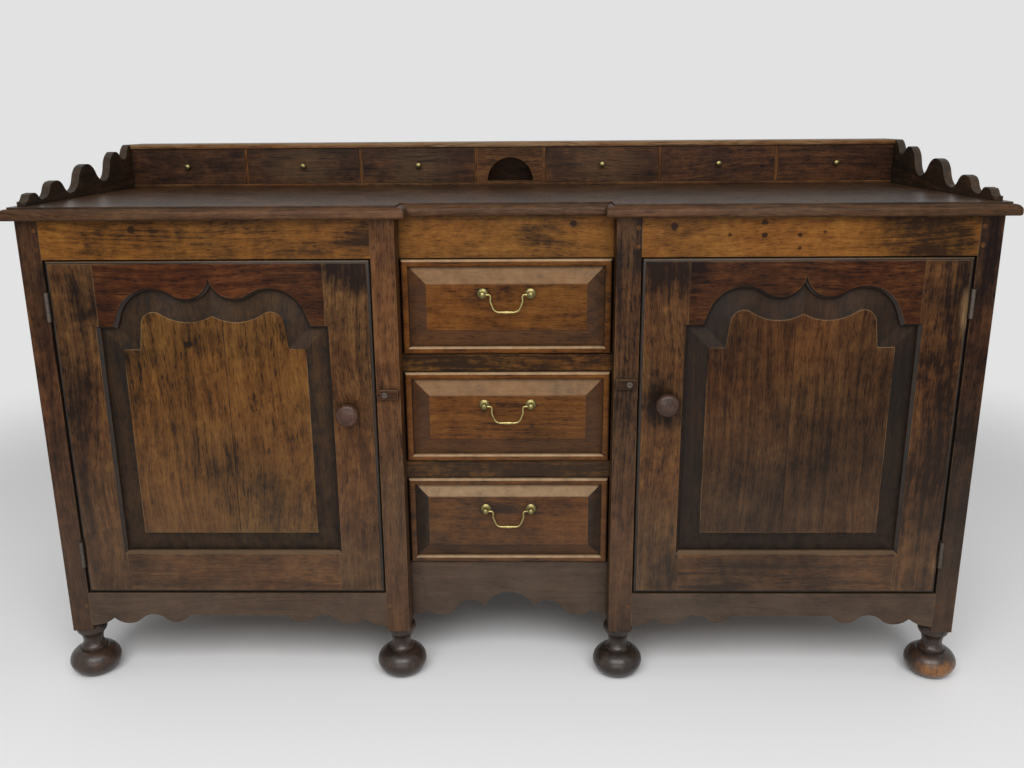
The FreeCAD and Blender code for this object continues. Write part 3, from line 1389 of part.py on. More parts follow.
def door_cutter(middle):
    """Everything cut from a door's blank: the opening, and the moulding round its edge.

    The moulding stays narrower than the tightest hollow of the arch, which it follows.
    """
    face = front_y.value
    quirk = size("door_quirk").value
    widest = arch.dip_radius - arch.dip_x
    width = min(size("door_moulding_width").value, widest * MOULDING_SHARE)
    opening = prism(arch.wire(middle, 0, face), size("door_thickness").value)
    step = prism(arch.wire(middle, -width, face), quirk)
    slope_y = face + size("door_moulding_depth").value
    ends = [arch.wire(middle, -width, face + quirk), arch.wire(middle, 0, slope_y)]
    slope = Part.makeLoft(ends, True, True)
    return opening.fuse([step, slope])


def door_panel(middle, plate):
    """A rectangular tongue that carries an arched bevel and a raised field."""
    tongue_y = front_y.value + size("door_panel_depth").value
    top_y = front_y.value + size("door_field_depth").value
    step_y = top_y + size("door_field_step").value
    bevel = size("door_bevel").value
    foot = arch.wire(middle, size("dry_fit").value, tongue_y)
    slope = Part.makeLoft([foot, arch.wire(middle, bevel, step_y)], True, True)
    field = prism(arch.wire(middle, bevel, top_y), step_y - top_y)
    return plate.Shape.fuse([slope, field]).removeSplitter()


def door_knob(name, x, z):
    """A turned knob with a dowel into the stile."""
    dowel = size("knob_dowel_length")
    corners = [
        (ZERO, ZERO),
        (size("knob_dowel_radius"), ZERO),
        (size("knob_dowel_radius"), dowel),
        (size("knob_collar_radius"), dowel),
        (size("knob_collar_radius"), dowel + size("knob_collar")),
        (size("knob_neck_radius"), dowel + size("knob_neck"), size("knob_neck_bow"), TO_LEFT),
        (size("knob_radius"), dowel + size("knob_rim"), size("knob_rim_bow"), TO_RIGHT),
        (size("knob_face_radius"), dowel + size("knob_face")),
        (size("knob_crown_radius"), dowel + size("knob_crown")),
        (ZERO, dowel + size("knob_reach")),
    ]
    knob = turned(name, corners)
    knob.Placement = FreeCAD.Placement(V(), FreeCAD.Rotation(V(1, 0, 0), 90))
    return set_base(knob, x, front_y + dowel, z)


def door_blank(name, x):
    """The door's slab with a small step and a round along its outer edges."""
    z = (door_low, door_high)
    shelf_y_of_step = front_y + size("door_edge_step")
    slab = box(name + "_slab", x, (shelf_y_of_step, door_back_y), z)

    def front_edge(edge):
        return lies_at(edge, "Y", shelf_y_of_step.value)

    rounded = round_edges(name + "_rounded", slab, size("door_edge_radius"), front_edge)
    edge = size("door_edge_width")
    face_x = (x[0] + edge, x[1] - edge)
    face = box(name + "_face", face_x, (front_y, shelf_y_of_step), (z[0] + edge, z[1] - edge))
    return fuse(name + "_blank", [rounded, face])


knob_heights = {LEFT: size("left_knob_height"), RIGHT: size("right_knob_height")}


def door(side):
    """All the wooden pieces of one door."""
    name = f"{SIDE_NAMES[side]}_door"
    x = mirrored(side, door_in, door_out)
    middle = door_mid * side
    z = (door_low, door_high)
    y = (front_y, door_back_y)
    tongue = size("panel_tongue")
    tongue_y = front_y + size("door_panel_depth")
    plate_x = mirrored(side, hole_in - tongue, hole_out + tongue)
    plate_top = door_high - size("door_cusp_drop") + tongue
    plate_y = (tongue_y, tongue_y + size("panel_thickness"))
    plate = box(name + "_plate", plate_x, plate_y, (hole_low - tongue, plate_top))
    doc.recompute()
    cutter = shape_feature(name + "_cutter", door_cutter(middle.value))
    opened = cut(name + "_opened", door_blank(name, x), [cutter, plate])

    tenon_y = middle_third(*y)
    tenon_length = size("tenon_length") * 2
    tenon_levels = {
        "top": (plate_top + size("tenon_shoulder") / 2, door_high - size("tenon_shoulder")),
        "bottom": (door_low + size("tenon_shoulder"), hole_low - tongue - size("tenon_shoulder")),
    }
    tenons = {"in": [], "out": []}
    for part, levels in tenon_levels.items():
        near_x = mirrored(side, hole_in - tenon_length, hole_in)
        far_x = mirrored(side, hole_out, hole_out + tenon_length)
        tenons["in"].append(box(f"{name}_{part}_tenon_in", near_x, tenon_y, levels))
        tenons["out"].append(box(f"{name}_{part}_tenon_out", far_x, tenon_y, levels))
    knob_x = (door_in + size("knob_inset")) * side
    knob_z = knob_heights[side]
    dowel_radius = size("knob_dowel_radius") + size("dry_fit")
    dowel_start = (knob_x, front_y, knob_z)
    socket = rod(name + "_knob_socket", "y", dowel_radius, dowel_start, size("knob_dowel_length"))

    stile_blocks = {
        "in": box(name + "_stile_in_block", mirrored(side, door_in, hole_in), y, z),
        "out": box(name + "_stile_out_block", mirrored(side, hole_out, door_out), y, z),
    }
    stiles = []
    for part, block in stile_blocks.items():
        blank = common(f"{name}_stile_{part}_blank", opened, block)
        cutters = tenons[part] + ([socket] if part == "in" else [])
        stiles.append(cut(f"{name}_stile_{part}", blank, cutters))
    node(name + "_stiles", group(name + "_stiles_group", stiles))

    rail_x = mirrored(side, hole_in, hole_out)
    halfway = (hole_low + shoulder_z) / 2
    for number, (part, bounds) in enumerate((("top", (halfway, door_high)), ("bottom", (door_low, halfway)))):
        block = box(f"{name}_{part}_rail_block", rail_x, y, bounds)
        blank = common(f"{name}_{part}_rail_blank", opened, block)
        pieces = [blank, tenons["in"][number], tenons["out"][number]]
        node(f"{name}_{part}_rail", fuse(f"{name}_{part}_rail_tenoned", pieces))
    node(name + "_panel", shape_feature(name + "_panel_solid", door_panel(middle.value, plate)))
    node(name + "_knob", door_knob(name + "_knob_body", knob_x, knob_z))


for side in SIDES:
    door(side)


# Hinges: butts in the gap beside each door, with their knuckles in front of it


def knuckle(name, x, z):
    """One length of a hinge's barrel."""
    return rod(name, "z", size("hinge_barrel_radius"), (x, hinge_y, z[0]), z[1] - z[0])


def hinge(name, side, middle_z):
    """The fixed leaf, the door's leaf and the pin of one hinge."""
    third = size("hinge_length") / 3
    play = size("hinge_play") / 2
    low = middle_z - size("hinge_length") / 2
    levels = [(low + third * k, low + third * (k + 1)) for k in range(3)]
    whole = (low, low + size("hinge_length"))
    x = hinge_x * side
    leaf = size("hinge_leaf")
    barrel_back = hinge_y + size("hinge_barrel_radius") + size("hinge_fit") * 2
    leaf_y = (barrel_back, front_y + size("hinge_leaf_width"))
    web_y = (hinge_y, leaf_y[0])
    fixed_x = mirrored(side, cupboard_out - leaf, cupboard_out)
    moving_x = mirrored(side, door_out, door_out + leaf)
    outer_levels = [(levels[0][0], levels[0][1] - play), (levels[2][0] + play, levels[2][1])]
    inner_level = (levels[1][0] + play, levels[1][1] - play)
    bore_radius = size("hinge_pin_radius") + size("hinge_fit")
    bore = rod(name + "_bore", "z", bore_radius, (x, hinge_y, low), size("hinge_length"))
    fixed_pieces = [box(name + "_fixed_plate", fixed_x, leaf_y, whole)]
    for number, bounds in enumerate(outer_levels):
        fixed_pieces.append(box(f"{name}_fixed_web_{number}", fixed_x, web_y, bounds))
        fixed_pieces.append(knuckle(f"{name}_fixed_knuckle_{number}", x, bounds))
    fixed = cut(name + "_fixed", fuse(name + "_fixed_blank", fixed_pieces), [bore])
    moving_pieces = [
        box(name + "_moving_plate", moving_x, leaf_y, whole),
        box(name + "_moving_web", moving_x, web_y, inner_level),
        knuckle(name + "_moving_knuckle", x, inner_level),
    ]
    moving = cut(name + "_moving", fuse(name + "_moving_blank", moving_pieces), [bore])
    pin = rod(name + "_pin", "z", size("hinge_pin_radius"), (x, hinge_y, low), size("hinge_length"))
    return fixed, moving, pin


fixed_leaves = []
hinge_levels = {"low": door_low + size("hinge_inset"), "high": door_high - size("hinge_inset")}
for side in SIDES:
    moving_leaves = []
    for part, middle_z in hinge_levels.items():
        fixed, moving, pin = hinge(f"{SIDE_NAMES[side]}_{part}_hinge", side, middle_z)
        fixed_leaves += [fixed, pin]
        moving_leaves.append(moving)
    node(f"{SIDE_NAMES[side]}_door_hinge_leaves", group(f"{SIDE_NAMES[side]}_leaves_group", moving_leaves))
node("hinge_fixed_leaves", group("hinge_fixed_leaves_group", fixed_leaves))


# Check the document, then write one file for each sub-part

doc.recompute()
failed = [item.Name for item in doc.Objects if "Invalid" in item.State or "Error" in item.State]
bad_shapes = [item.Label for item in nodes if item.Shape.isNull() or not item.Shape.isValid()]
if failed or bad_shapes:
    raise RuntimeError(f"failed objects {failed}, bad shapes {bad_shapes}")
os.makedirs("parts", exist_ok=True)
for item in nodes:
    item.Shape.exportStep(f"parts/{item.Label}.step")
print(len(nodes), "sub-parts,", sum(len(item.Shape.Solids) for item in nodes), "solids")
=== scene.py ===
"""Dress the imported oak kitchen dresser: its finishes, the studio and the camera."""

from __future__ import annotations

import json
import logging
import math
from dataclasses import dataclass
from enum import Enum
from typing import Any, Mapping, Optional, Sequence, Union

import bpy
from mathutils import Matrix, Vector

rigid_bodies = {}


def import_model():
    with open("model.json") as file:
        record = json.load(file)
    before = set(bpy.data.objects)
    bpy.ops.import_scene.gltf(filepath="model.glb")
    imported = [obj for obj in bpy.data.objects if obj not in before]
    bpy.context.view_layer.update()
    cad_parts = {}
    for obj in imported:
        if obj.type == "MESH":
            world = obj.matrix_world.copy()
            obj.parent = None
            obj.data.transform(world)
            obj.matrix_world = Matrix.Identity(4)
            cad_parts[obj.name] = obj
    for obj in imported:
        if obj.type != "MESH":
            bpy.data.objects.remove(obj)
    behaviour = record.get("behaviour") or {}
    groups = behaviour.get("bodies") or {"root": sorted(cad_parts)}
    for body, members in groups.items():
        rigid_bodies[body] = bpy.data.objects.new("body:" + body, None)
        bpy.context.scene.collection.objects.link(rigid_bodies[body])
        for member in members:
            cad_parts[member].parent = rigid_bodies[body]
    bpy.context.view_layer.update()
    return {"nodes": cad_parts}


LOG = logging.getLogger("dresser")

Triple = tuple[float, float, float]
Pair = tuple[float, float]
Key = Union[str, int]

WHITE: Triple = (1.0, 1.0, 1.0)
EVEN: Triple = (1.0, 1.0, 1.0)
MIDDLE = 0.5

# Sockets of a Mix node that mixes colours
MIX_FACTOR = 0
MIX_FIRST = 6
MIX_SECOND = 7
MIX_RESULT = 2

# How the seed grows from one material to the next
OAK_SEED = 1.37
METAL_SEED = 3.1

# The oak's figure: rings, drift of the fibres in metres, and the shift from plank to plank
RINGS = 11.0
RING_RISE: Pair = (0.0, 0.4)
RING_FALL: Pair = (1.0, 0.7)
DRIFT_REACH = 0.05
PLANK_SHIFT = 0.73

# The tone of each plank in turn, and its nails, a quarter of its width from the middle
TONE_STEP = 0.618
TONE_START = 0.37
NAIL_ROW = 0.25
NAIL_CORE = 0.8
NAIL_STAIN = 0.3
SEAM_DIRT = 0.9

# How ragged the edge of a mark is, and the share of its reach that it fills
MARK_BLOTCH = 1.3
MARK_STREAK = 0.7
MARK_CORE = 0.2

# Tones at which oak is dark, plain and light, and the red cast of some boards
TONE_STOPS: Triple = (0.08, 0.5, 0.92)
RUDDY: Triple = (1.05, 0.78, 0.66)
RUDDY_CLOUD: Pair = (0.38, 0.62)

# Greyer below a height, and the painted highlight of faces that look up
LOW_GREY_HEIGHT: Pair = (0.62, 0.14)
LOW_GREY_FLOOR = 0.45
UPWARD_RISE: Pair = (0.08, 0.34)
TOP_HIGHLIGHT_FLOOR = 0.3

# Painted shade, with old dirt, in corners and mouldings, most on the faces that look sideways or down
SHADE_SAMPLES = 6
CORNER_REACH = 0.009
CORNER_SHADE: Pair = (0.85, 0.30)
HOLLOW_DARKENING = 0.9
FRONT_SHARE = 0.15
SIDE_FACE: Pair = (0.01, 0.06)
UNDER_FACE: Pair = (-0.08, -0.20)
UNDER_SHADE = 0.42

# Wear and painted highlight on the arrises, and pale marks where hands wear the oak
ARRIS_SAMPLES = 4
ARRIS_TURN: Pair = (0.99, 0.90)
ARRIS_BLOTCH: Pair = (0.34, 0.56)
PALE_FIBRE: Pair = (0.25, 0.55)

# Shares of the layers in the oak's relief, its depth in metres, and what changes its roughness
RELIEF_FIBRE = 0.5
RELIEF_STREAK = 0.5
RELIEF_PORE = 0.6
RELIEF_DASH = 0.4
RELIEF_DEPTH = 0.0007
ROUGH_BLOTCH = 0.18
ROUGH_DIRT_AND_SHADE = 0.20
ROUGH_PORE = 0.08
ROUGH_PALE = 0.08

# Tarnish, scratches and relief of the metals
SPOTS = 160.0
SPOT_DETAIL = 3.0
SPOT_ROUGH = 0.6
SPOT_CUT: Pair = (0.5, 0.72)
SPOT_SHARE = 0.7
TARNISH_REACH = 0.005
TARNISH_SHADE: Pair = (0.9, 0.35)
DULL_ROUGH = 0.25
DULL_METAL = 0.35
SCRATCH_ROUGH = 0.12
SCRATCH_RELIEF = 0.3
METAL_BUMP = 0.15
METAL_DEPTH = 0.0002


class Wire:
    """A shader socket that can stand in a Python expression."""

    def __init__(self, graph: "Graph", socket: bpy.types.NodeSocket) -> None:
        """Keep the socket and the graph that it belongs to."""
        self.graph = graph
        self.socket = socket

    def _math(self, operation: str, first: Any, second: Any = 0.0) -> "Wire":
        """Add one Math node over two values."""
        return self.graph.node("ShaderNodeMath", {"operation": operation}, {0: first, 1: second})[0]

    def __add__(self, other: Any) -> "Wire":
        """Sum of two values."""
        return self._math("ADD", self, other)

    __radd__ = __add__

    def __sub__(self, other: Any) -> "Wire":
        """Difference of two values."""
        return self._math("SUBTRACT", self, other)

    def __rsub__(self, other: Any) -> "Wire":
        """A plain number less this value."""
        return self._math("SUBTRACT", other, self)

    def __mul__(self, other: Any) -> "Wire":
        """Product of two values."""
        return self._math("MULTIPLY", self, other)

    __rmul__ = __mul__

    def __truediv__(self, other: Any) -> "Wire":
        """Quotient of two values."""
        return self._math("DIVIDE", self, other)

    def fraction(self) -> "Wire":
        """What is left of the value above a whole number."""
        return self._math("FRACT", self)

    def floor(self) -> "Wire":
        """The whole number below the value."""
        return self._math("FLOOR", self)

    def size(self) -> "Wire":
        """The value without its sign."""
        return self._math("ABSOLUTE", self)

    def swing(self) -> "Wire":
        """How far the value lies from the middle of 0 and 1."""
        return self - MIDDLE

    def at_most(self, other: Any) -> "Wire":
        """The smaller of two values."""
        return self._math("MINIMUM", self, other)

    def at_least(self, other: Any) -> "Wire":
        """The larger of two values."""
        return self._math("MAXIMUM", self, other)

    def step(self, low: float, high: float) -> "Wire":
        """Rise smoothly from 0 at low to 1 at high; where low is above high, fall from 1 to 0.

        Args:
            low: Where the result is 0.
            high: Where the result is 1.

        Returns:
            A value from 0 to 1.
        """
        values = {"Value": self, "From Min": min(low, high), "From Max": max(low, high)}
        ends = {"To Min": 0.0, "To Max": 1.0} if low < high else {"To Min": 1.0, "To Max": 0.0}
        settings = {"interpolation_type": "SMOOTHSTEP"}
        return self.graph.node("ShaderNodeMapRange", settings, {**values, **ends})[0]


class Made:
    """A shader node whose outputs are wires."""

    def __init__(self, graph: "Graph", node: bpy.types.Node) -> None:
        """Keep the node and its graph."""
        self.graph = graph
        self.node = node

    def __getitem__(self, key: Key) -> Wire:
        """The output of that name or number."""
        return Wire(self.graph, self.node.outputs[key])


class Graph:
    """The node tree of one material, or of the world."""

    def __init__(self, tree: bpy.types.NodeTree) -> None:
        """Start with an empty tree."""
        self.tree = tree
        tree.nodes.clear()

    def node(
        self,
        kind: str,
        settings: Optional[Mapping[str, Any]] = None,
        inputs: Optional[Mapping[Key, Any]] = None,
    ) -> Made:
        """Add one node.

        Args:
            kind: Blender's type name of the node.
            settings: Its properties, set first; "stops" fills a colour ramp.
            inputs: Numbers, tuples or wires for its sockets, by name or number.

        Returns:
            The node, whose outputs are wires.
        """
        made = self.tree.nodes.new(kind)
        for name, value in (settings or {}).items():
            if name == "stops":
                self._fill_ramp(made.color_ramp, value)
            else:
                setattr(made, name, value)
        for key, value in (inputs or {}).items():
            if isinstance(value, Wire):
                self.tree.links.new(value.socket, made.inputs[key])
            elif isinstance(value, tuple) and made.inputs[key].type == "RGBA":
                made.inputs[key].default_value = (*value, 1.0)
            else:
                made.inputs[key].default_value = value
        return Made(self, made)

    @staticmethod
    def _fill_ramp(ramp: bpy.types.ColorRamp, stops: Sequence[tuple[float, Triple]]) -> None:
        """Set the stops of a colour ramp.

        Args:
            ramp: The ramp.
            stops: Places from 0 to 1 with their colours.
        """
        while len(ramp.elements) < len(stops):
            ramp.elements.new(1.0)
        for element, (place, colour) in zip(ramp.elements, stops):
            element.position = place
            element.color = (*colour, 1.0)

    def vector(self, x: Any, y: Any, z: Any) -> Wire:
        """A vector of three values."""
        return self.node("ShaderNodeCombineXYZ", None, {"X": x, "Y": y, "Z": z})[0]

    def split(self, vector: Wire) -> Made:
        """The X, Y and Z of a vector."""
        return self.node("ShaderNodeSeparateXYZ", None, {"Vector": vector})

    def stretch(self, vector: Wire, by: Triple) -> Wire:
        """A vector with each axis multiplied."""
        return self.node("ShaderNodeVectorMath", {"operation": "MULTIPLY"}, {0: vector, 1: by})[0]

    def noise(self, vector: Wire, by: Triple, detail: float, rough: float) -> Wire:
        """Soft noise from 0 to 1.

        Args:
            vector: The place, in metres.
            by: Features per metre along each axis.
            detail: How many finer layers are added.
            rough: How strong the finer layers are.

        Returns:
            The noise's value.
        """
        values = {"Vector": self.stretch(vector, by), "Scale": 1.0, "Detail": detail, "Roughness": rough}
        return self.node("ShaderNodeTexNoise", None, values)["Fac"]

    def distance(self, vector: Wire, point: Triple) -> Wire:
        """Distance to a point."""
        made = self.node("ShaderNodeVectorMath", {"operation": "DISTANCE"}, {0: vector, 1: point})
        return made["Value"]

    def blend(self, factor: Any, first: Any, second: Any, mode: str = "MIX") -> Wire:
        """Mix two colours.

        Args:
            factor: The share of the second colour, from 0 to 1.
            first: The first colour.
            second: The second colour.
            mode: Blender's name of the way of mixing.

        Returns:
            The mixed colour.
        """
        settings = {"data_type": "RGBA", "blend_type": mode, "clamp_factor": True}
        inputs = {MIX_FACTOR: factor, MIX_FIRST: first, MIX_SECOND: second}
        return self.node("ShaderNodeMix", settings, inputs)[MIX_RESULT]

    def ramp(self, factor: Wire, stops: Sequence[tuple[float, Triple]]) -> Wire:
        """Colour by a value."""
        return self.node("ShaderNodeValToRGB", {"stops": stops}, {"Fac": factor})[0]

    def shade(self, reach: float) -> Wire:
        """1 in the open and less in corners, looking as far as reach."""
        settings = {"samples": SHADE_SAMPLES}
        return self.node("ShaderNodeAmbientOcclusion", settings, {"Distance": reach})["AO"]

    def rounded(self, radius: float) -> Wire:
        """The normal as it would be with rounded arrises."""
        return self.node("ShaderNodeBevel", {"samples": ARRIS_SAMPLES}, {"Radius": radius})["Normal"]

    def dot(self, first: Wire, second: Wire) -> Wire:
        """How far two directions agree."""
        settings = {"operation": "DOT_PRODUCT"}
        return self.node("ShaderNodeVectorMath", settings, {0: first, 1: second})["Value"]

    def bump(self, height: Wire, strength: float, depth: float, normal: Optional[Wire] = None) -> Wire:
        """A normal from a height.

        Args:
            height: The height, as a share of depth.
            strength: How strongly it shows.
            depth: The depth in metres.
            normal: The normal that is bent; left out for the surface's own.

        Returns:
            The bent normal.
        """
        values = {"Strength": strength, "Distance": depth, "Height": height}
        if normal is not None:
            values["Normal"] = normal
        return self.node("ShaderNodeBump", None, values)["Normal"]

    def seen(self) -> Wire:
        """Tell the rays that show the backdrop from those that light the scene.

        Returns:
            1 for the camera's rays, mirrored ones and those through glass, and 0 for the others.
        """
        rays = self.node("ShaderNodeLightPath")
        mirrored = rays["Is Glossy Ray"].at_least(rays["Is Transmission Ray"])
        return rays["Is Camera Ray"].at_least(mirrored)

    def surface(self, shader: Made) -> None:
        """Join a shader to the material's output."""
        self.node("ShaderNodeOutputMaterial", None, {"Surface": shader[0]})


class Grain(Enum):
    """Which way the fibres of a board run: along them, across them and through them."""

    ALONG = "XYZ"
    DEEP = "YXZ"
    UPRIGHT = "ZXY"


@dataclass(frozen=True)
class Layer:
    """One noise of a surface: features per metre along each axis, detail, roughness and a cut."""

    scale: Triple
    detail: float
    rough: float = 0.5
    cut: Optional[Pair] = None

    def at(self, graph: Graph, vector: Wire) -> Wire:
        """The layer's value at a place.

        Args:
            graph: The material's graph.
            vector: The place, in metres.

        Returns:
            A value from 0 to 1.
        """
        value = graph.noise(vector, self.scale, self.detail, self.rough)
        return value.step(*self.cut) if self.cut else value


# Layers of the oak along, across and through its fibres
RING = Layer((1.4, 12.0, 12.0), 1.0, 0.4)
FIBRE = Layer((11.0, 380.0, 380.0), 3.0, 0.6)
STREAK = Layer((3.0, 95.0, 95.0), 2.0, 0.55)
DASH = Layer((36.0, 300.0, 300.0), 1.5, cut=(0.58, 0.70))
PORE = Layer((75.0, 620.0, 620.0), 1.0, cut=(0.55, 0.66))

# Layers of the oak that are the same along every axis
DRIFT = Layer((3.1, 3.1, 3.1), 1.0)
MOTTLE = Layer((60.0, 60.0, 60.0), 3.0, 0.65)
BLOTCH = Layer((13.0, 13.0, 13.0), 3.0, 0.6)
CLOUD = Layer((3.3, 3.3, 3.3), 2.0)

# Scratches of the metals, finest along X
SCRATCH = Layer((2600.0, 500.0, 500.0), 1.0)


@dataclass(frozen=True)
class Planks:
    """Boards side by side along X: a joint between them, a tone for each, and nails at some heights."""

    start: float
    width: float
    tone: float
    joint: float = 0.0012
    nail_heights: tuple[float, ...] = ()
    nail_radius: float = 0.0055
    stain_radius: float = 0.028

    def across(self, parts: Made) -> Wire:
        """Where a point lies across the boards, counted in boards."""
        return (parts["X"] - self.start) / self.width

    def number(self, parts: Made) -> Wire:
        """The number of the board that a point lies on."""
        return self.across(parts).floor()

    def marks(self, board: "Board") -> tuple[Wire, Wire]:
        """What tells the boards apart.

        Args:
            board: The wires of the surface.

        Returns:
            The change of tone, and the dark joints and nail heads.
        """
        off = self.across(board.parts).fraction().swing().size()
        tone = (self.number(board.parts) * TONE_STEP + TONE_START).fraction().swing() * self.tone
        seam = off.step(MIDDLE - self.joint / self.width, MIDDLE)
        beside = (off - NAIL_ROW) * self.width
        for height in self.nail_heights:
            spot = board.graph.vector(beside, board.parts["Z"], 0.0)
            nail = board.graph.distance(spot, (0.0, height, 0.0))
            seam = nail.step(self.nail_radius, NAIL_CORE * self.nail_radius).at_least(seam)
            tone = tone - nail.step(self.stain_radius, self.nail_radius) * NAIL_STAIN
        return tone, seam


@dataclass(frozen=True)
class Board:
    """What an oak finish reads at one point: its place, the way it faces and the layers there."""

    graph: Graph
    place: Wire
    parts: Made
    flat: Wire
    heading: Made
    upward: Wire
    bands: Wire
    fibre: Wire
    streak: Wire
    dash: Wire
    pore: Wire
    mottle: Wire
    blotch: Wire
    cloud: Wire

    @classmethod
    def lay(cls, graph: Graph, grain: Grain, seed: float, planks: Optional[Planks]) -> "Board":
        """Lay the figure of oak over a surface.

        Args:
            graph: The material's graph.
            grain: The way of the fibres.
            seed: Shifts the figure.
            planks: How the surface divides into boards, each with its own figure.

        Returns:
            The wires of the surface.
        """
        place = graph.node("ShaderNodeTexCoord")["Object"]
        parts = graph.split(place)
        along, across, through = (parts[axis] for axis in grain.value)
        drift = DRIFT.at(graph, place) * DRIFT_REACH
        start = along + seed
        if planks:
            start = start + planks.number(parts) * PLANK_SHIFT
        figure = graph.vector(start, across + drift, through + drift + seed)
        spread = graph.vector(parts["X"] + seed, parts["Y"], parts["Z"] - seed)
        ring = (RING.at(graph, figure) * RINGS).fraction()
        flat = graph.node("ShaderNodeNewGeometry")["Normal"]
        heading = graph.split(flat)
        return cls(
            graph=graph,
            place=place,
            parts=parts,
            flat=flat,
            heading=heading,
            upward=heading["Z"].step(*UPWARD_RISE),
            bands=ring.step(*RING_RISE) * ring.step(*RING_FALL),
            fibre=FIBRE.at(graph, figure),
            streak=STREAK.at(graph, figure),
            dash=DASH.at(graph, figure),
            pore=PORE.at(graph, figure),
            mottle=MOTTLE.at(graph, spread),
            blotch=BLOTCH.at(graph, spread),
            cloud=CLOUD.at(graph, spread),
        )


@dataclass(frozen=True)
class Mark:
    """A stain round a point of the frame; where pale, a place worn by hands and cloths, and on the spice
    case's top edge a painted highlight.
    """

    place: Triple
    reach: float
    strength: float
    stretch: Triple = EVEN
    pale: bool = False

    def amount(self, board: Board) -> Wire:
        """How strongly the mark shows at a point.

        Args:
            board: The wires of the surface.

        Returns:
            A value from 0 to the mark's strength.
        """
        centre = tuple(part * by for part, by in zip(self.place, self.stretch))
        near = board.graph.distance(board.graph.stretch(board.place, self.stretch), centre)
        ragged = board.blotch.swing() * MARK_BLOTCH + board.streak.swing() * MARK_STREAK
        edge = near + ragged * self.reach
        return edge.step(self.reach, MARK_CORE * self.reach) * self.strength


@dataclass(frozen=True)
class Hollow:
    """The depths, along +Y, between which a moulding or bevel is darkened by old dirt and painted shade.

    Halfway between them the share called bare goes back to the oak's colour as a painted lighter middle,
    sheen is the wax left there, and sides_only keeps most of the darkening, as painted shade, to the faces
    that look sideways or down.
    """

    start: float
    end: float
    strength: float
    # Share of the darkening taken off halfway, a painted lighter middle
    bare: float = 0.0
    sheen: float = 0.0
    sides_only: bool = False
    blur: float = 0.0005

    def dirt(self, board: Board, spared_on_top: float) -> Wire:
        """How much old dirt and painted shade darken a point.

        Args:
            board: The wires of the surface.
            spared_on_top: The share of the darkening kept off faces that look up, as painted light from
                above.

        Returns:
            A value from 0 to the hollow's strength.
        """
        depth = board.parts["Y"]
        inside = depth.step(self.start, self.start + self.blur)
        inside = inside * depth.step(self.end, self.end - self.blur) * self.strength
        middle = MIDDLE * (self.start + self.end)
        # Painted light: a lighter middle down the bevel
        painted_light_middle = depth.step(self.start, middle) * depth.step(self.end, middle) * self.bare
        # Less darkening on faces that look up: painted light from above
        inside = inside * (1.0 - painted_light_middle) * (1.0 - board.upward * spared_on_top)
        # Painted shade: most of the darkening kept to faces that look sideways or down
        if self.sides_only:
            across = board.heading["X"]
            sideways = (across * across).step(*SIDE_FACE)
            under = board.heading["Z"].step(*UNDER_FACE) * UNDER_SHADE
            inside = inside * (FRONT_SHARE + (1.0 - FRONT_SHARE) * sideways.at_least(under))
        return inside


def new_material(name: str) -> tuple[bpy.types.Material, Graph]:
    """Make an empty node material.

    Args:
        name: The material's name.

    Returns:
        The material and its graph.
    """
    material = bpy.data.materials.new(name)
    material.use_nodes = True
    return material, Graph(material.node_tree)


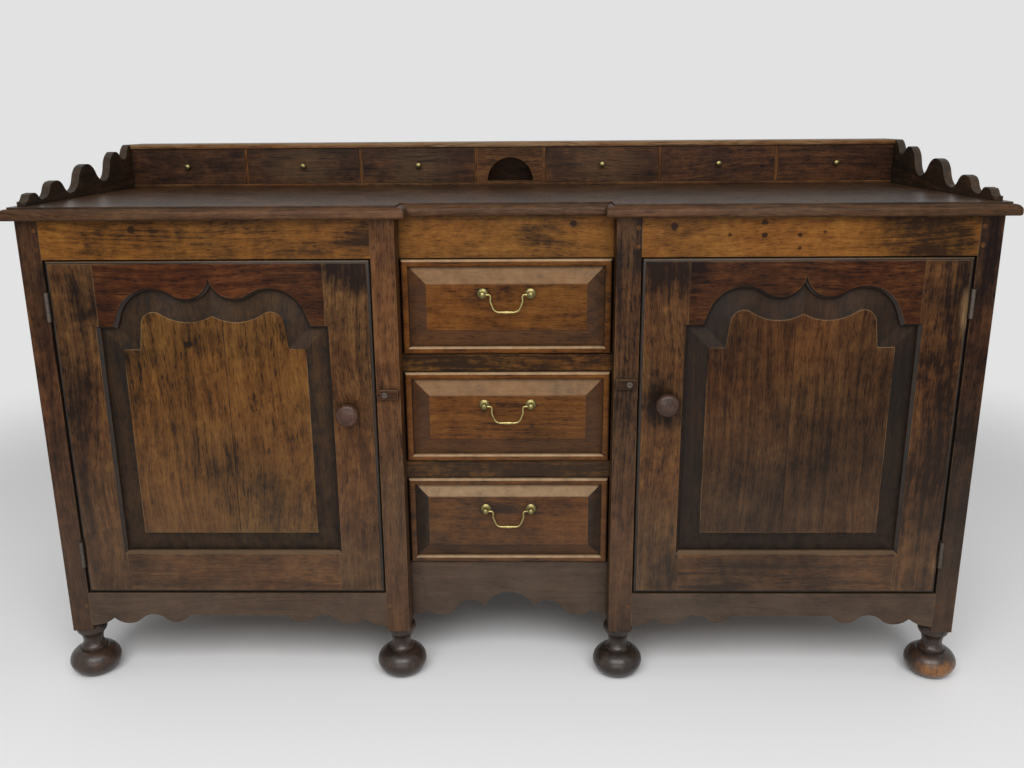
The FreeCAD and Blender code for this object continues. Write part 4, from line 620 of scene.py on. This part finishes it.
@dataclass(frozen=True)
class OakFinish:
    """Old waxed oak: ring figure, fibres, dark dashes, blotches, corner dirt with painted shade, arrises
    worn and with painted highlight.
    """

    dark: Triple
    body: Triple
    light: Triple
    # Colour of old dirt and painted shade
    grime_and_shade: Triple = (0.014, 0.011, 0.009)
    # Colour of worn places, also of the painted highlight on arrises and on the spice case's top edge
    worn: Triple = (0.21, 0.125, 0.058)
    # Colour of the painted highlight on faces that look up
    top_highlight: Triple = (0.20, 0.120, 0.055)
    # Colour that the oak turns towards the floor
    low_grey: Triple = (0.080, 0.060, 0.046)
    ring_contrast: float = 0.16
    fibre_contrast: float = 0.70
    streak_contrast: float = 0.50
    mottle_contrast: float = 0.65
    dash_strength: float = 0.22
    pore_strength: float = 0.24
    blotch_contrast: float = 0.60
    cloud_contrast: float = 0.50
    red_tint: float = 0.55
    corner_grime_and_shade: float = 0.85
    arris_wear_and_light: float = 0.45
    low_grey_strength: float = 0.35
    top_light_strength: float = 0.55
    roughness: float = 0.40
    specular: float = 0.06
    coat: float = 0.015
    coat_roughness: float = 0.16
    bump: float = 0.35
    arris: float = 0.0022

    def material(
        self,
        name: str,
        grain: Grain,
        seed: float,
        marks: Sequence[Mark] = (),
        hollow: Optional[Hollow] = None,
        planks: Optional[Planks] = None,
    ) -> bpy.types.Material:
        """Make this finish for boards whose fibres run one way.

        Args:
            name: The material's name.
            grain: The way of the fibres.
            seed: Shifts the figure, so that no two kinds of board share it.
            marks: Stains, places worn by hands, and a painted highlight.
            hollow: Depths that are dark with old dirt and painted shade.
            planks: How the surface divides into boards.

        Returns:
            The material.
        """
        material, graph = new_material(name)
        board = Board.lay(graph, grain, seed, planks)
        tone = self._tone(board)
        # Painted shade, with old dirt, where corners and quirks hem the surface in
        dirt = graph.shade(CORNER_REACH).step(*CORNER_SHADE) * self.corner_grime_and_shade
        if planks:
            change, seam = planks.marks(board)
            tone = tone + change
            dirt = dirt.at_least(seam * SEAM_DIRT)
        # Pale marks: places worn by hands, and one painted highlight on the spice case's top edge
        pale_mark_sum: Any = 0.0
        for mark in marks:
            if mark.pale:
                pale_mark_sum = mark.amount(board) + pale_mark_sum
            else:
                tone = tone - mark.amount(board)
        sheen: Any = self.coat
        if hollow:
            # Old dirt and painted shade in mouldings and bevels
            inside = hollow.dirt(board, self.top_light_strength)
            dirt = dirt.at_least(inside * (HOLLOW_DARKENING + board.mottle.swing() * HOLLOW_DARKENING))
            sheen = self.coat + inside * hollow.sheen
        rub_and_highlight = board.fibre.step(*PALE_FIBRE) * pale_mark_sum
        rounded = graph.rounded(self.arris) if self.arris else None
        # Arrises lightened, partly by wear and partly as a painted highlight along the edges
        if rounded is not None:
            turn = graph.dot(rounded, board.flat).step(*ARRIS_TURN)
            edge = turn * (1.0 - dirt) * board.blotch.step(*ARRIS_BLOTCH) * self.arris_wear_and_light
            rub_and_highlight = rub_and_highlight.at_least(edge)
        # Old dirt and painted shade darken the colour
        colour = graph.blend(dirt, self._aged_and_top_lit(board, tone), self.grime_and_shade)
        roughness = self.roughness + board.blotch.swing() * ROUGH_BLOTCH + dirt * ROUGH_DIRT_AND_SHADE
        height = board.fibre * RELIEF_FIBRE + board.streak * RELIEF_STREAK
        height = height - board.pore * RELIEF_PORE - board.dash * RELIEF_DASH
        shader = graph.node(
            "ShaderNodeBsdfPrincipled",
            None,
            {
                "Base Color": graph.blend(rub_and_highlight, colour, self.worn),
                "Roughness": roughness + board.pore * ROUGH_PORE - rub_and_highlight * ROUGH_PALE,
                "Specular IOR Level": self.specular,
                "Coat Weight": sheen,
                "Coat Roughness": self.coat_roughness,
                "Normal": graph.bump(height, self.bump, RELIEF_DEPTH, rounded),
            },
        )
        graph.surface(shader)
        return material

    def _tone(self, board: Board) -> Wire:
        """The tone of bare oak.

        Args:
            board: The wires of the surface.

        Returns:
            0.5 where the oak is plain, less where it is dark and more where it is light.
        """
        tone = MIDDLE + board.bands.swing() * self.ring_contrast
        tone = tone + board.fibre.swing() * self.fibre_contrast
        tone = tone + board.streak.swing() * self.streak_contrast
        tone = tone + board.mottle.swing() * self.mottle_contrast
        tone = tone + board.blotch.swing() * self.blotch_contrast
        tone = tone + board.cloud.swing() * self.cloud_contrast
        return tone - board.pore * self.pore_strength - board.dash * self.dash_strength

    def _aged_and_top_lit(self, board: Board, tone: Wire) -> Wire:
        """The colour of a tone, with its red cast, greyer low down, and a painted highlight on faces that
        look up.

        Args:
            board: The wires of the surface.
            tone: The oak's tone.

        Returns:
            The colour.
        """
        graph = board.graph
        colour = graph.ramp(tone, tuple(zip(TONE_STOPS, (self.dark, self.body, self.light))))
        ruddy = board.cloud.step(*RUDDY_CLOUD) * self.red_tint
        colour = graph.blend(ruddy, colour, RUDDY, "MULTIPLY")
        # Greyer towards the floor
        low_grey_share = board.parts["Z"].step(*LOW_GREY_HEIGHT) * self.low_grey_strength * (LOW_GREY_FLOOR + board.blotch)
        colour = graph.blend(low_grey_share, colour, self.low_grey)
        # Painted highlight on faces that look up
        top_highlight_share = board.upward * (TOP_HIGHLIGHT_FLOOR + board.mottle) * self.top_light_strength
        return graph.blend(top_highlight_share, colour, self.top_highlight)


@dataclass(frozen=True)
class MetalFinish:
    """Old metal: a hand-worn colour, tarnish in the hollows and fine scratches."""

    bright: Triple
    tarnish: Triple
    roughness: float
    dulling: float
    metallic: float = 1.0

    def material(self, name: str, seed: float) -> bpy.types.Material:
        """Make this finish.

        Args:
            name: The material's name.
            seed: Stretches the spots of tarnish, so that no two metals share them.

        Returns:
            The material.
        """
        material, graph = new_material(name)
        place = graph.node("ShaderNodeTexCoord")["Object"]
        spots = graph.noise(place, (SPOTS + seed, SPOTS, SPOTS), SPOT_DETAIL, SPOT_ROUGH)
        scratch = SCRATCH.at(graph, place)
        spotted = graph.shade(TARNISH_REACH).step(*TARNISH_SHADE) + spots.step(*SPOT_CUT) * SPOT_SHARE
        dull = spotted.at_most(1.0) * self.dulling
        shader = graph.node(
            "ShaderNodeBsdfPrincipled",
            None,
            {
                "Base Color": graph.blend(dull, self.bright, self.tarnish),
                "Metallic": self.metallic - dull * DULL_METAL,
                "Roughness": self.roughness + dull * DULL_ROUGH + scratch.swing() * SCRATCH_ROUGH,
                "Normal": graph.bump(spots + scratch * SCRATCH_RELIEF, METAL_BUMP, METAL_DEPTH),
            },
        )
        graph.surface(shader)
        return material


# Finishes
POST_OAK = OakFinish(
    dark=(0.0108, 0.0054, 0.0036),
    body=(0.0576, 0.0270, 0.0108),
    light=(0.1170, 0.0576, 0.0216),
)
FRIEZE_OAK = OakFinish(
    dark=(0.0180, 0.0080, 0.0030),
    body=(0.118, 0.048, 0.009),
    light=(0.205, 0.094, 0.018),
    ring_contrast=0.12,
    fibre_contrast=0.50,
    streak_contrast=0.26,
    dash_strength=0.08,
    pore_strength=0.18,
    blotch_contrast=0.45,
    red_tint=0.45,
)
OUTER_OAK = OakFinish(
    dark=(0.0068, 0.0034, 0.0026),
    body=(0.0323, 0.0145, 0.0068),
    light=(0.0808, 0.0365, 0.0153),
)
RUDDY_OAK = OakFinish(
    dark=(0.0068, 0.0026, 0.0017),
    body=(0.0357, 0.0110, 0.0034),
    light=(0.0892, 0.0323, 0.0093),
)
APRON_OAK = OakFinish(
    dark=(0.0128, 0.0071, 0.0046),
    body=(0.0418, 0.0237, 0.0138),
    light=(0.0764, 0.0441, 0.0244),
    blotch_contrast=0.5,
    low_grey_strength=0.5,
)
STILE_OAK = OakFinish(
    dark=(0.0095, 0.0047, 0.0029),
    body=(0.0589, 0.0266, 0.0095),
    light=(0.1283, 0.0646, 0.0199),
)
LEFT_PANEL_OAK = OakFinish(
    dark=(0.0090, 0.0053, 0.0030),
    body=(0.0707, 0.0309, 0.0075),
    light=(0.1317, 0.0639, 0.0158),
    grime_and_shade=(0.009, 0.0072, 0.006),
    dash_strength=0.26,
    blotch_contrast=0.75,
    red_tint=0.45,
    arris_wear_and_light=1.0,
    top_light_strength=0.25,
    arris=0.0026,
)
RIGHT_PANEL_OAK = OakFinish(
    dark=(0.0073, 0.0037, 0.0022),
    body=(0.0380, 0.0161, 0.0058),
    light=(0.0841, 0.0387, 0.0125),
    grime_and_shade=(0.009, 0.0072, 0.006),
    dash_strength=0.25,
    arris_wear_and_light=0.9,
    top_light_strength=0.25,
    arris=0.0026,
)
DRAWER_OAK = OakFinish(
    dark=(0.0114, 0.0045, 0.0020),
    body=(0.0848, 0.0304, 0.0054),
    light=(0.1438, 0.0593, 0.0116),
    worn=(0.19, 0.100, 0.048),
    top_highlight=(0.31, 0.205, 0.115),
    fibre_contrast=0.50,
    streak_contrast=0.34,
    mottle_contrast=0.60,
    dash_strength=0.14,
    pore_strength=0.22,
    blotch_contrast=0.70,
    red_tint=0.4,
    top_light_strength=1.0,
)
TOP_OAK = OakFinish(
    dark=(0.0114, 0.0063, 0.0036),
    body=(0.0386, 0.0210, 0.0107),
    light=(0.0851, 0.0473, 0.0222),
    roughness=0.30,
    coat=0.032,
    coat_roughness=0.10,
    worn=(0.12, 0.050, 0.022),
    top_light_strength=0.0,
)
GALLERY_OAK = OakFinish(
    dark=(0.0097, 0.0078, 0.0058),
    body=(0.0273, 0.0175, 0.0117),
    light=(0.0780, 0.0429, 0.0234),
    worn=(0.10, 0.085, 0.06),
    top_highlight=(0.055, 0.045, 0.034),
    top_light_strength=0.45,
)
SPICE_OAK = OakFinish(
    dark=(0.0068, 0.0046, 0.0034),
    body=(0.0319, 0.0148, 0.0080),
    light=(0.0912, 0.0388, 0.0148),
)
CASE_OAK = OakFinish(
    dark=(0.016, 0.007, 0.003),
    body=(0.070, 0.028, 0.009),
    light=(0.14, 0.064, 0.020),
)
TURNED_OAK = OakFinish(
    dark=(0.008, 0.006, 0.005),
    body=(0.026, 0.017, 0.012),
    light=(0.062, 0.032, 0.018),
    worn=(0.22, 0.092, 0.026),
    roughness=0.34,
    specular=0.30,
    coat=0.18,
    coat_roughness=0.18,
    low_grey_strength=0.0,
    top_light_strength=0.0,
    arris=0.0,
)
KNOB_OAK = OakFinish(
    dark=(0.0150, 0.0075, 0.0053),
    body=(0.0450, 0.0218, 0.0135),
    light=(0.0750, 0.0390, 0.0240),
    roughness=0.30,
    specular=0.20,
    coat=0.10,
    coat_roughness=0.14,
    blotch_contrast=0.4,
    low_grey_strength=0.0,
    top_light_strength=0.0,
    arris=0.0,
)
BUTTON_OAK = OakFinish(
    dark=(0.0060, 0.0036, 0.0024),
    body=(0.0300, 0.0132, 0.0066),
    light=(0.0600, 0.0270, 0.0120),
)
INSIDE_OAK = OakFinish(
    dark=(0.045, 0.028, 0.016),
    body=(0.150, 0.095, 0.052),
    light=(0.270, 0.180, 0.105),
    roughness=0.66,
    coat=0.0,
    arris_wear_and_light=0.2,
    low_grey_strength=0.15,
    top_light_strength=0.2,
    red_tint=0.2,
)
BRASS = MetalFinish(
    bright=(0.33, 0.27, 0.105),
    tarnish=(0.050, 0.040, 0.018),
    roughness=0.30,
    dulling=0.95,
)
DARK_BRASS = MetalFinish(
    bright=(0.20, 0.165, 0.065),
    tarnish=(0.030, 0.024, 0.012),
    roughness=0.34,
    dulling=0.95,
)
IRON = MetalFinish(
    bright=(0.075, 0.060, 0.048),
    tarnish=(0.03, 0.018, 0.012),
    roughness=0.48,
    dulling=0.8,
    metallic=0.75,
)

# Stains, knots, places worn by hands and a painted highlight: the middle, the reach, the strength, the
# stretch and whether it is pale
POST_MARKS = (Mark((0.768, -0.263, 0.450), 0.060, 0.26, (1.0, 1.0, 0.08)),)
INNER_POST_MARKS = (Mark((0.199, -0.263, 0.450), 0.100, 0.14, (1.0, 1.0, 0.15)),)
FRIEZE_MARKS = (
    Mark((-0.600, -0.263, 0.816), 0.007, 0.6),
    Mark((-0.570, -0.263, 0.806), 0.040, 0.12, (0.4, 1.0, 1.4)),
    Mark((-0.233, -0.263, 0.800), 0.030, 0.35, (0.6, 1.0, 0.8)),
    Mark((0.047, -0.218, 0.792), 0.034, 0.14, (0.5, 1.0, 1.2)),
    Mark((-0.500, -0.263, 0.800), 0.300, 0.12, (0.8, 1.0, 0.2)),
    Mark((0.110, -0.218, 0.817), 0.006, 0.6),
    Mark((0.269, -0.263, 0.8175), 0.007, 0.5),
    Mark((0.357, -0.263, 0.803), 0.006, 0.5),
    Mark((0.411, -0.263, 0.823), 0.007, 0.5),
    Mark((0.412, -0.263, 0.8025), 0.006, 0.5),
    Mark((0.468, -0.263, 0.802), 0.006, 0.5),
    Mark((0.469, -0.263, 0.782), 0.006, 0.5),
    Mark((0.507, -0.263, 0.807), 0.006, 0.5),
    Mark((0.690, -0.263, 0.801), 0.150, 0.30, (1.0, 1.0, 0.1)),
    Mark((0.0, -0.218, 0.5835), 0.030, 0.34, (0.08, 1.0, 0.6)),
    Mark((0.0, -0.218, 0.3905), 0.030, 0.36, (0.08, 1.0, 0.6)),
)
APRON_MARKS = (Mark((0.50, -0.255, 0.140), 0.300, 0.12, (0.8, 1.0, 0.3)),)
FOOT_MARKS = (Mark((0.775, -0.268, 0.020), 0.040, 1.0, (0.7, 1.0, 1.6), True),)
TOP_MARKS = (
    Mark((-0.50, -0.283, 0.843), 0.020, 0.16, (0.012, 1.0, 1.0), True),
    Mark((0.0, -0.238, 0.843), 0.020, 0.16, (0.012, 1.0, 1.0), True),
    Mark((0.50, -0.283, 0.843), 0.020, 0.16, (0.012, 1.0, 1.0), True),
)
# Painted highlight: a pale line along the front edge of the spice case's top
CASE_EDGE_HIGHLIGHT = (Mark((0.0, 0.190, 0.9370), 0.009, 0.9, (0.004, 1.0, 1.0), True),)
SPICE_MARKS = (
    Mark((-0.425, 0.195, 0.893), 0.100, 0.16, (1.0, 1.0, 1.6), True),
    Mark((-0.190, 0.195, 0.893), 0.100, 0.16, (1.0, 1.0, 1.6), True),
    Mark((0.190, 0.195, 0.893), 0.100, 0.16, (1.0, 1.0, 1.6), True),
)
LEFT_DOOR_MARKS = (
    Mark((-0.250, -0.263, 0.750), 0.060, 0.50, (0.8, 1.0, 1.0)),
    Mark((-0.265, -0.263, 0.511), 0.036, 0.35),
    Mark((-0.735, -0.263, 0.480), 0.060, 0.20, (1.0, 1.0, 0.12)),
    Mark((-0.685, -0.263, 0.690), 0.050, 0.20),
)
RIGHT_DOOR_MARKS = (
    Mark((0.262, -0.263, 0.748), 0.065, 0.50, (0.7, 1.0, 1.0)),
    Mark((0.262, -0.263, 0.515), 0.050, 0.40),
    Mark((0.735, -0.263, 0.500), 0.080, 0.36, (1.0, 1.0, 0.12)),
    Mark((0.484, -0.263, 0.210), 0.120, 0.22, (0.4, 1.0, 1.0)),
    Mark((0.744, -0.263, 0.672), 0.012, 0.6, (1.0, 1.0, 0.22), True),
    Mark((0.742, -0.263, 0.2285), 0.010, 0.4, (1.0, 1.0, 0.3), True),
)
LEFT_PANEL_MARKS = (
    Mark((-0.600, -0.2595, 0.580), 0.070, 0.16, (1.0, 1.0, 0.5)),
    Mark((-0.528, -0.2595, 0.6256), 0.008, 0.45),
    Mark((-0.457, -0.2595, 0.440), 0.050, 0.12),
    Mark((-0.408, -0.2595, 0.330), 0.060, 0.14),
)
RIGHT_PANEL_MARKS = (
    Mark((0.600, -0.2595, 0.520), 0.090, 0.16, (1.0, 1.0, 0.5)),
    Mark((0.490, -0.2595, 0.360), 0.120, 0.12),
)

# How the back and the door panels divide into boards
BACK_BOARDS = Planks(start=-0.7375, width=0.184375, tone=0.5, nail_heights=(0.140, 0.806))
LEFT_PANEL_BOARDS = Planks(start=-0.668, width=0.200, tone=0.12)
RIGHT_PANEL_BOARDS = Planks(start=0.273, width=0.200, tone=0.16)


class Dresser:
    """The CAD nodes by name, and what is common to dressing them."""

    def __init__(self, nodes: Mapping[str, bpy.types.Object]) -> None:
        """Keep the frame's nodes and count the materials made."""
        self.nodes = nodes
        self.made = 0

    def paint(self, names: Sequence[str], material: bpy.types.Material) -> None:
        """Give nodes one material.

        Args:
            names: The nodes.
            material: What they are covered with.
        """
        for name in names:
            slots = self.nodes[name].data.materials
            slots.clear()
            slots.append(material)
            LOG.info("%s wears %s", name, material.name)

    def oak(
        self,
        names: Sequence[str],
        finish: OakFinish,
        grain: Grain,
        marks: Sequence[Mark] = (),
        hollow: Optional[Hollow] = None,
        planks: Optional[Planks] = None,
    ) -> None:
        """Cover boards with oak.

        Args:
            names: The nodes.
            finish: The oak's finish.
            grain: The way of the fibres.
            marks: Stains, places worn by hands, and a painted highlight.
            hollow: Depths that are dark with old dirt and painted shade.
            planks: How the surface divides into boards.
        """
        self.made += 1
        seed = OAK_SEED * self.made
        self.paint(names, finish.material(f"oak_{names[0]}", grain, seed, marks, hollow, planks))

    def metal(self, names: Sequence[str], finish: MetalFinish) -> None:
        """Cover metalwork.

        Args:
            names: The nodes.
            finish: The metal's finish.
        """
        self.made += 1
        self.paint(names, finish.material(f"metal_{names[0]}", METAL_SEED * self.made))


@dataclass
class Carcass:
    """Posts, rails, aprons, sides, back, inside and feet."""

    outer: tuple[str, ...] = ("outer_posts", "rear_posts")
    shelves: tuple[str, ...] = ("floor_boards", "cupboard_shelves", "back_rails")
    ironwork: tuple[str, ...] = ("hinge_fixed_leaves", "turn_button_screws")

    def dress(self, dresser: Dresser) -> None:
        """Cover every piece of the carcass.

        Args:
            dresser: The nodes.
        """
        dresser.oak(self.outer, OUTER_OAK, Grain.UPRIGHT, POST_MARKS)
        dresser.oak(["inner_posts"], POST_OAK, Grain.UPRIGHT, INNER_POST_MARKS)
        dresser.oak(["front_rails"], FRIEZE_OAK, Grain.ALONG, FRIEZE_MARKS)
        dresser.oak(["aprons"], APRON_OAK, Grain.ALONG, APRON_MARKS)
        dresser.oak(["side_rails"], OUTER_OAK, Grain.DEEP)
        dresser.oak(["side_panels"], RIGHT_PANEL_OAK, Grain.UPRIGHT)
        dresser.oak(["back_boards"], INSIDE_OAK, Grain.UPRIGHT, planks=BACK_BOARDS)
        dresser.oak(["partitions"], INSIDE_OAK, Grain.UPRIGHT)
        dresser.oak(self.shelves, INSIDE_OAK, Grain.ALONG)
        dresser.oak(["runners_and_bearers"], INSIDE_OAK, Grain.DEEP)
        dresser.oak(["joint_pegs"], CASE_OAK, Grain.DEEP)
        dresser.oak(["bun_feet"], TURNED_OAK, Grain.UPRIGHT, FOOT_MARKS)
        dresser.metal(self.ironwork, IRON)


@dataclass
class Top:
    """The worktop, the gallery and the spice case with its drawers."""

    drawers: int = 6

    def dress(self, dresser: Dresser) -> None:
        """Cover the top, the gallery and the spice drawers.

        Args:
            dresser: The nodes.
        """
        numbers = range(1, self.drawers + 1)
        dresser.oak(["top_board"], TOP_OAK, Grain.ALONG, TOP_MARKS)
        dresser.oak(["gallery_sides"], GALLERY_OAK, Grain.DEEP)
        # The case's top edge carries a painted highlight
        dresser.oak(["spice_case_boards"], CASE_OAK, Grain.ALONG, CASE_EDGE_HIGHLIGHT)
        dresser.oak(["pigeonhole_front"], CASE_OAK, Grain.ALONG)
        dresser.oak(["spice_case_dividers"], CASE_OAK, Grain.UPRIGHT)
        dresser.oak([f"spice_drawer_{k}" for k in numbers], SPICE_OAK, Grain.ALONG, SPICE_MARKS)
        dresser.metal([f"spice_knob_{k}" for k in numbers], DARK_BRASS)


@dataclass
class Door:
    """One framed door with its panel, knob, turn button and hinge leaves."""

    side: str
    panel: OakFinish
    frame_marks: tuple[Mark, ...]
    panel_marks: tuple[Mark, ...]
    panel_boards: Planks
    # Frame mouldings and panel bevels darkened with old dirt and painted shade; the bevels keep a painted
    # lighter middle
    moulding: Hollow = Hollow(start=-0.2624, end=-0.2550, strength=1.0, sheen=0.45)
    bevel: Hollow = Hollow(start=-0.2592, end=-0.2510, strength=1.0, bare=0.18, sheen=0.05)

    def dress(self, dresser: Dresser) -> None:
        """Cover the door's pieces.

        Args:
            dresser: The nodes.
        """
        name = f"{self.side}_door"
        marks, boards = self.panel_marks, self.panel_boards
        dresser.oak([f"{name}_stiles"], STILE_OAK, Grain.UPRIGHT, self.frame_marks, self.moulding)
        dresser.oak([f"{name}_top_rail"], RUDDY_OAK, Grain.ALONG, self.frame_marks, self.moulding)
        dresser.oak([f"{name}_bottom_rail"], STILE_OAK, Grain.ALONG, self.frame_marks, self.moulding)
        dresser.oak([f"{name}_panel"], self.panel, Grain.UPRIGHT, marks, self.bevel, boards)
        dresser.oak([f"{name}_knob"], KNOB_OAK, Grain.DEEP)
        dresser.oak([f"{self.side}_turn_button"], BUTTON_OAK, Grain.ALONG)
        dresser.metal([f"{name}_hinge_leaves"], IRON)


@dataclass
class Drawer:
    """One drawer with its swan-neck handle, and the dirt that hands have left round it."""

    part: str
    handle_height: float
    darkening: float = 0.0
    face: float = -0.223
    post_offset: float = 0.040
    bail_drop: float = 0.004
    hand_dirt: float = 0.30
    bail_reach: float = 0.034
    bail_stretch: Triple = (0.8, 1.0, 1.6)
    post_reach: float = 0.016
    front_reach: float = 0.300
    # Bevels darkened with old dirt and painted shade, most on the sides and underside
    bevel: Hollow = Hollow(start=-0.2226, end=-0.2150, strength=0.95, sheen=0.2, sides_only=True)

    def stains(self) -> tuple[Mark, ...]:
        """The dirt behind the bail and round its posts, and the darkening of the whole front.

        Returns:
            The marks.
        """
        height = self.handle_height
        behind = (0.0, self.face, height - self.bail_drop)
        return (
            Mark(behind, self.bail_reach, self.hand_dirt, self.bail_stretch),
            Mark((-self.post_offset, self.face, height), self.post_reach, self.hand_dirt),
            Mark((self.post_offset, self.face, height), self.post_reach, self.hand_dirt),
            Mark((0.0, self.face, height), self.front_reach, self.darkening),
        )

    def dress(self, dresser: Dresser) -> None:
        """Cover the drawer's pieces.

        Args:
            dresser: The nodes.
        """
        name = f"{self.part}_drawer"
        dresser.oak([f"{name}_front"], DRAWER_OAK, Grain.ALONG, self.stains(), self.bevel)
        dresser.oak([f"{name}_box"], INSIDE_OAK, Grain.DEEP)
        dresser.metal([f"{name}_handle_posts"], DARK_BRASS)
        dresser.metal([f"{name}_bail"], BRASS)


@dataclass(frozen=True)
class SoftBox:
    """A rectangular lamp: where it hangs, what it faces, its width and height, and its watts."""

    name: str
    place: Triple
    aim: Triple
    size: Pair
    power: float

    def hang(self) -> None:
        """Add the lamp to the scene."""
        data = bpy.data.lights.new(self.name, "AREA")
        data.shape = "RECTANGLE"
        data.size, data.size_y = self.size
        data.energy = self.power
        lamp = bpy.data.objects.new(self.name, data)
        lamp.location = self.place
        way = Vector(self.aim) - Vector(self.place)
        lamp.rotation_euler = way.to_track_quat("-Z", "Y").to_euler()
        bpy.context.scene.collection.objects.link(lamp)


OVERHEAD = SoftBox(
    name="overhead",
    place=(0.0, -2.50, 2.45),
    aim=(0.0, -0.3, 0.2),
    size=(3.2, 1.6),
    power=98.0,
)
FRONT = SoftBox(
    name="front",
    place=(0.0, -3.6, 0.7),
    aim=(0.0, -0.2, 0.1),
    size=(3.2, 1.0),
    power=26.0,
)


@dataclass
class Studio:
    """A pale floor, soft light from above and in front, and the camera."""

    floor_colour: Triple = (0.76, 0.76, 0.765)
    floor_half: float = 9.0
    clear_radius: float = 1.5
    fade_radius: float = 2.6
    lens: float = 33.384
    sensor: float = 36.0
    camera_place: Triple = (0.03667, -1.78515, 0.98188)
    yaw: float = 1.0509
    pitch: float = 15.5579
    roll: float = -0.4273
    ceiling: float = 0.55
    walls: float = 0.20
    ceiling_rise: Pair = (0.05, 0.80)
    lamps: tuple[SoftBox, ...] = (OVERHEAD, FRONT)

    def build(self) -> None:
        """Make the floor, the world, the lamps and the camera."""
        self.floor()
        self.world()
        for lamp in self.lamps:
            lamp.hang()
        self.camera()

    def floor(self) -> None:
        """A plain pale floor that keeps the shadow and fades into the backdrop far away."""
        mesh = bpy.data.meshes.new("studio_floor")
        half = self.floor_half
        corners = [(-half, -half, 0.0), (half, -half, 0.0), (half, half, 0.0), (-half, half, 0.0)]
        mesh.from_pydata(corners, [], [(0, 1, 2, 3)])
        floor = bpy.data.objects.new("studio_floor", mesh)
        bpy.context.scene.collection.objects.link(floor)
        material, graph = new_material("studio_paper")
        place = graph.node("ShaderNodeTexCoord")["Object"]
        far = graph.distance(place, (0.0, 0.0, 0.0)).step(self.clear_radius, self.fade_radius)
        seen = graph.seen()
        paper = graph.node("ShaderNodeBsdfDiffuse", None, {"Color": self.floor_colour})
        glow = graph.node("ShaderNodeEmission", None, {"Color": self.floor_colour, "Strength": 1.0})
        mixed = graph.node("ShaderNodeMixShader", None, {0: far * seen, 1: paper[0], 2: glow[0]})
        graph.surface(mixed)
        mesh.materials.append(material)

    def world(self) -> None:
        """A pale ceiling and dimmer walls; the camera and mirrored rays see the backdrop's colour."""
        world = bpy.data.worlds.new("studio")
        bpy.context.scene.world = world
        world.use_nodes = True
        graph = Graph(world.node_tree)
        seen = graph.seen()
        way = graph.split(graph.node("ShaderNodeTexCoord")["Generated"])
        level = self.walls + way["Z"].step(*self.ceiling_rise) * (self.ceiling - self.walls)
        light = graph.node("ShaderNodeBackground", None, {"Color": WHITE, "Strength": level})
        drop = graph.node("ShaderNodeBackground", None, {"Color": self.floor_colour, "Strength": 1.0})
        mixed = graph.node("ShaderNodeMixShader", None, {0: seen, 1: light[0], 2: drop[0]})
        graph.node("ShaderNodeOutputWorld", None, {"Surface": mixed[0]})

    def camera(self) -> None:
        """Stand the camera where the photograph was taken from."""
        yaw, pitch, roll = (math.radians(angle) for angle in (self.yaw, self.pitch, self.roll))
        right = Vector((math.cos(yaw), math.sin(yaw), 0.0))
        ahead = Vector((-math.sin(yaw), math.cos(yaw), 0.0))
        upward = Vector((0.0, 0.0, 1.0))
        look = ahead * math.cos(pitch) - upward * math.sin(pitch)
        above = ahead * math.sin(pitch) + upward * math.cos(pitch)
        side = right * math.cos(roll) + above * math.sin(roll)
        crown = above * math.cos(roll) - right * math.sin(roll)
        data = bpy.data.cameras.new("photograph")
        data.lens = self.lens
        data.sensor_width = self.sensor
        camera = bpy.data.objects.new("photograph", data)
        axes = Matrix((side, crown, -look)).transposed().to_4x4()
        camera.matrix_world = Matrix.Translation(self.camera_place) @ axes
        bpy.context.scene.collection.objects.link(camera)
        bpy.context.scene.camera = camera


def clear_scene() -> None:
    """Remove whatever the file starts with."""
    for item in list(bpy.data.objects):
        bpy.data.objects.remove(item)


def main() -> None:
    """Load the frame, set the studio and dress each sub-assembly."""
    logging.basicConfig(level=logging.INFO, format="%(name)s: %(message)s")
    clear_scene()
    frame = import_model()
    bpy.context.scene.view_settings.view_transform = "Standard"
    Studio().build()
    dresser = Dresser(frame["nodes"])
    pieces = (
        Carcass(),
        Top(),
        Door("left", LEFT_PANEL_OAK, LEFT_DOOR_MARKS, LEFT_PANEL_MARKS, LEFT_PANEL_BOARDS),
        Door("right", RIGHT_PANEL_OAK, RIGHT_DOOR_MARKS, RIGHT_PANEL_MARKS, RIGHT_PANEL_BOARDS),
        Drawer("upper", handle_height=0.703),
        Drawer("middle", handle_height=0.510),
        Drawer("lower", handle_height=0.317, darkening=0.14),
    )
    for piece in pieces:
        piece.dress(dresser)


if __name__ == "__main__":
    main()
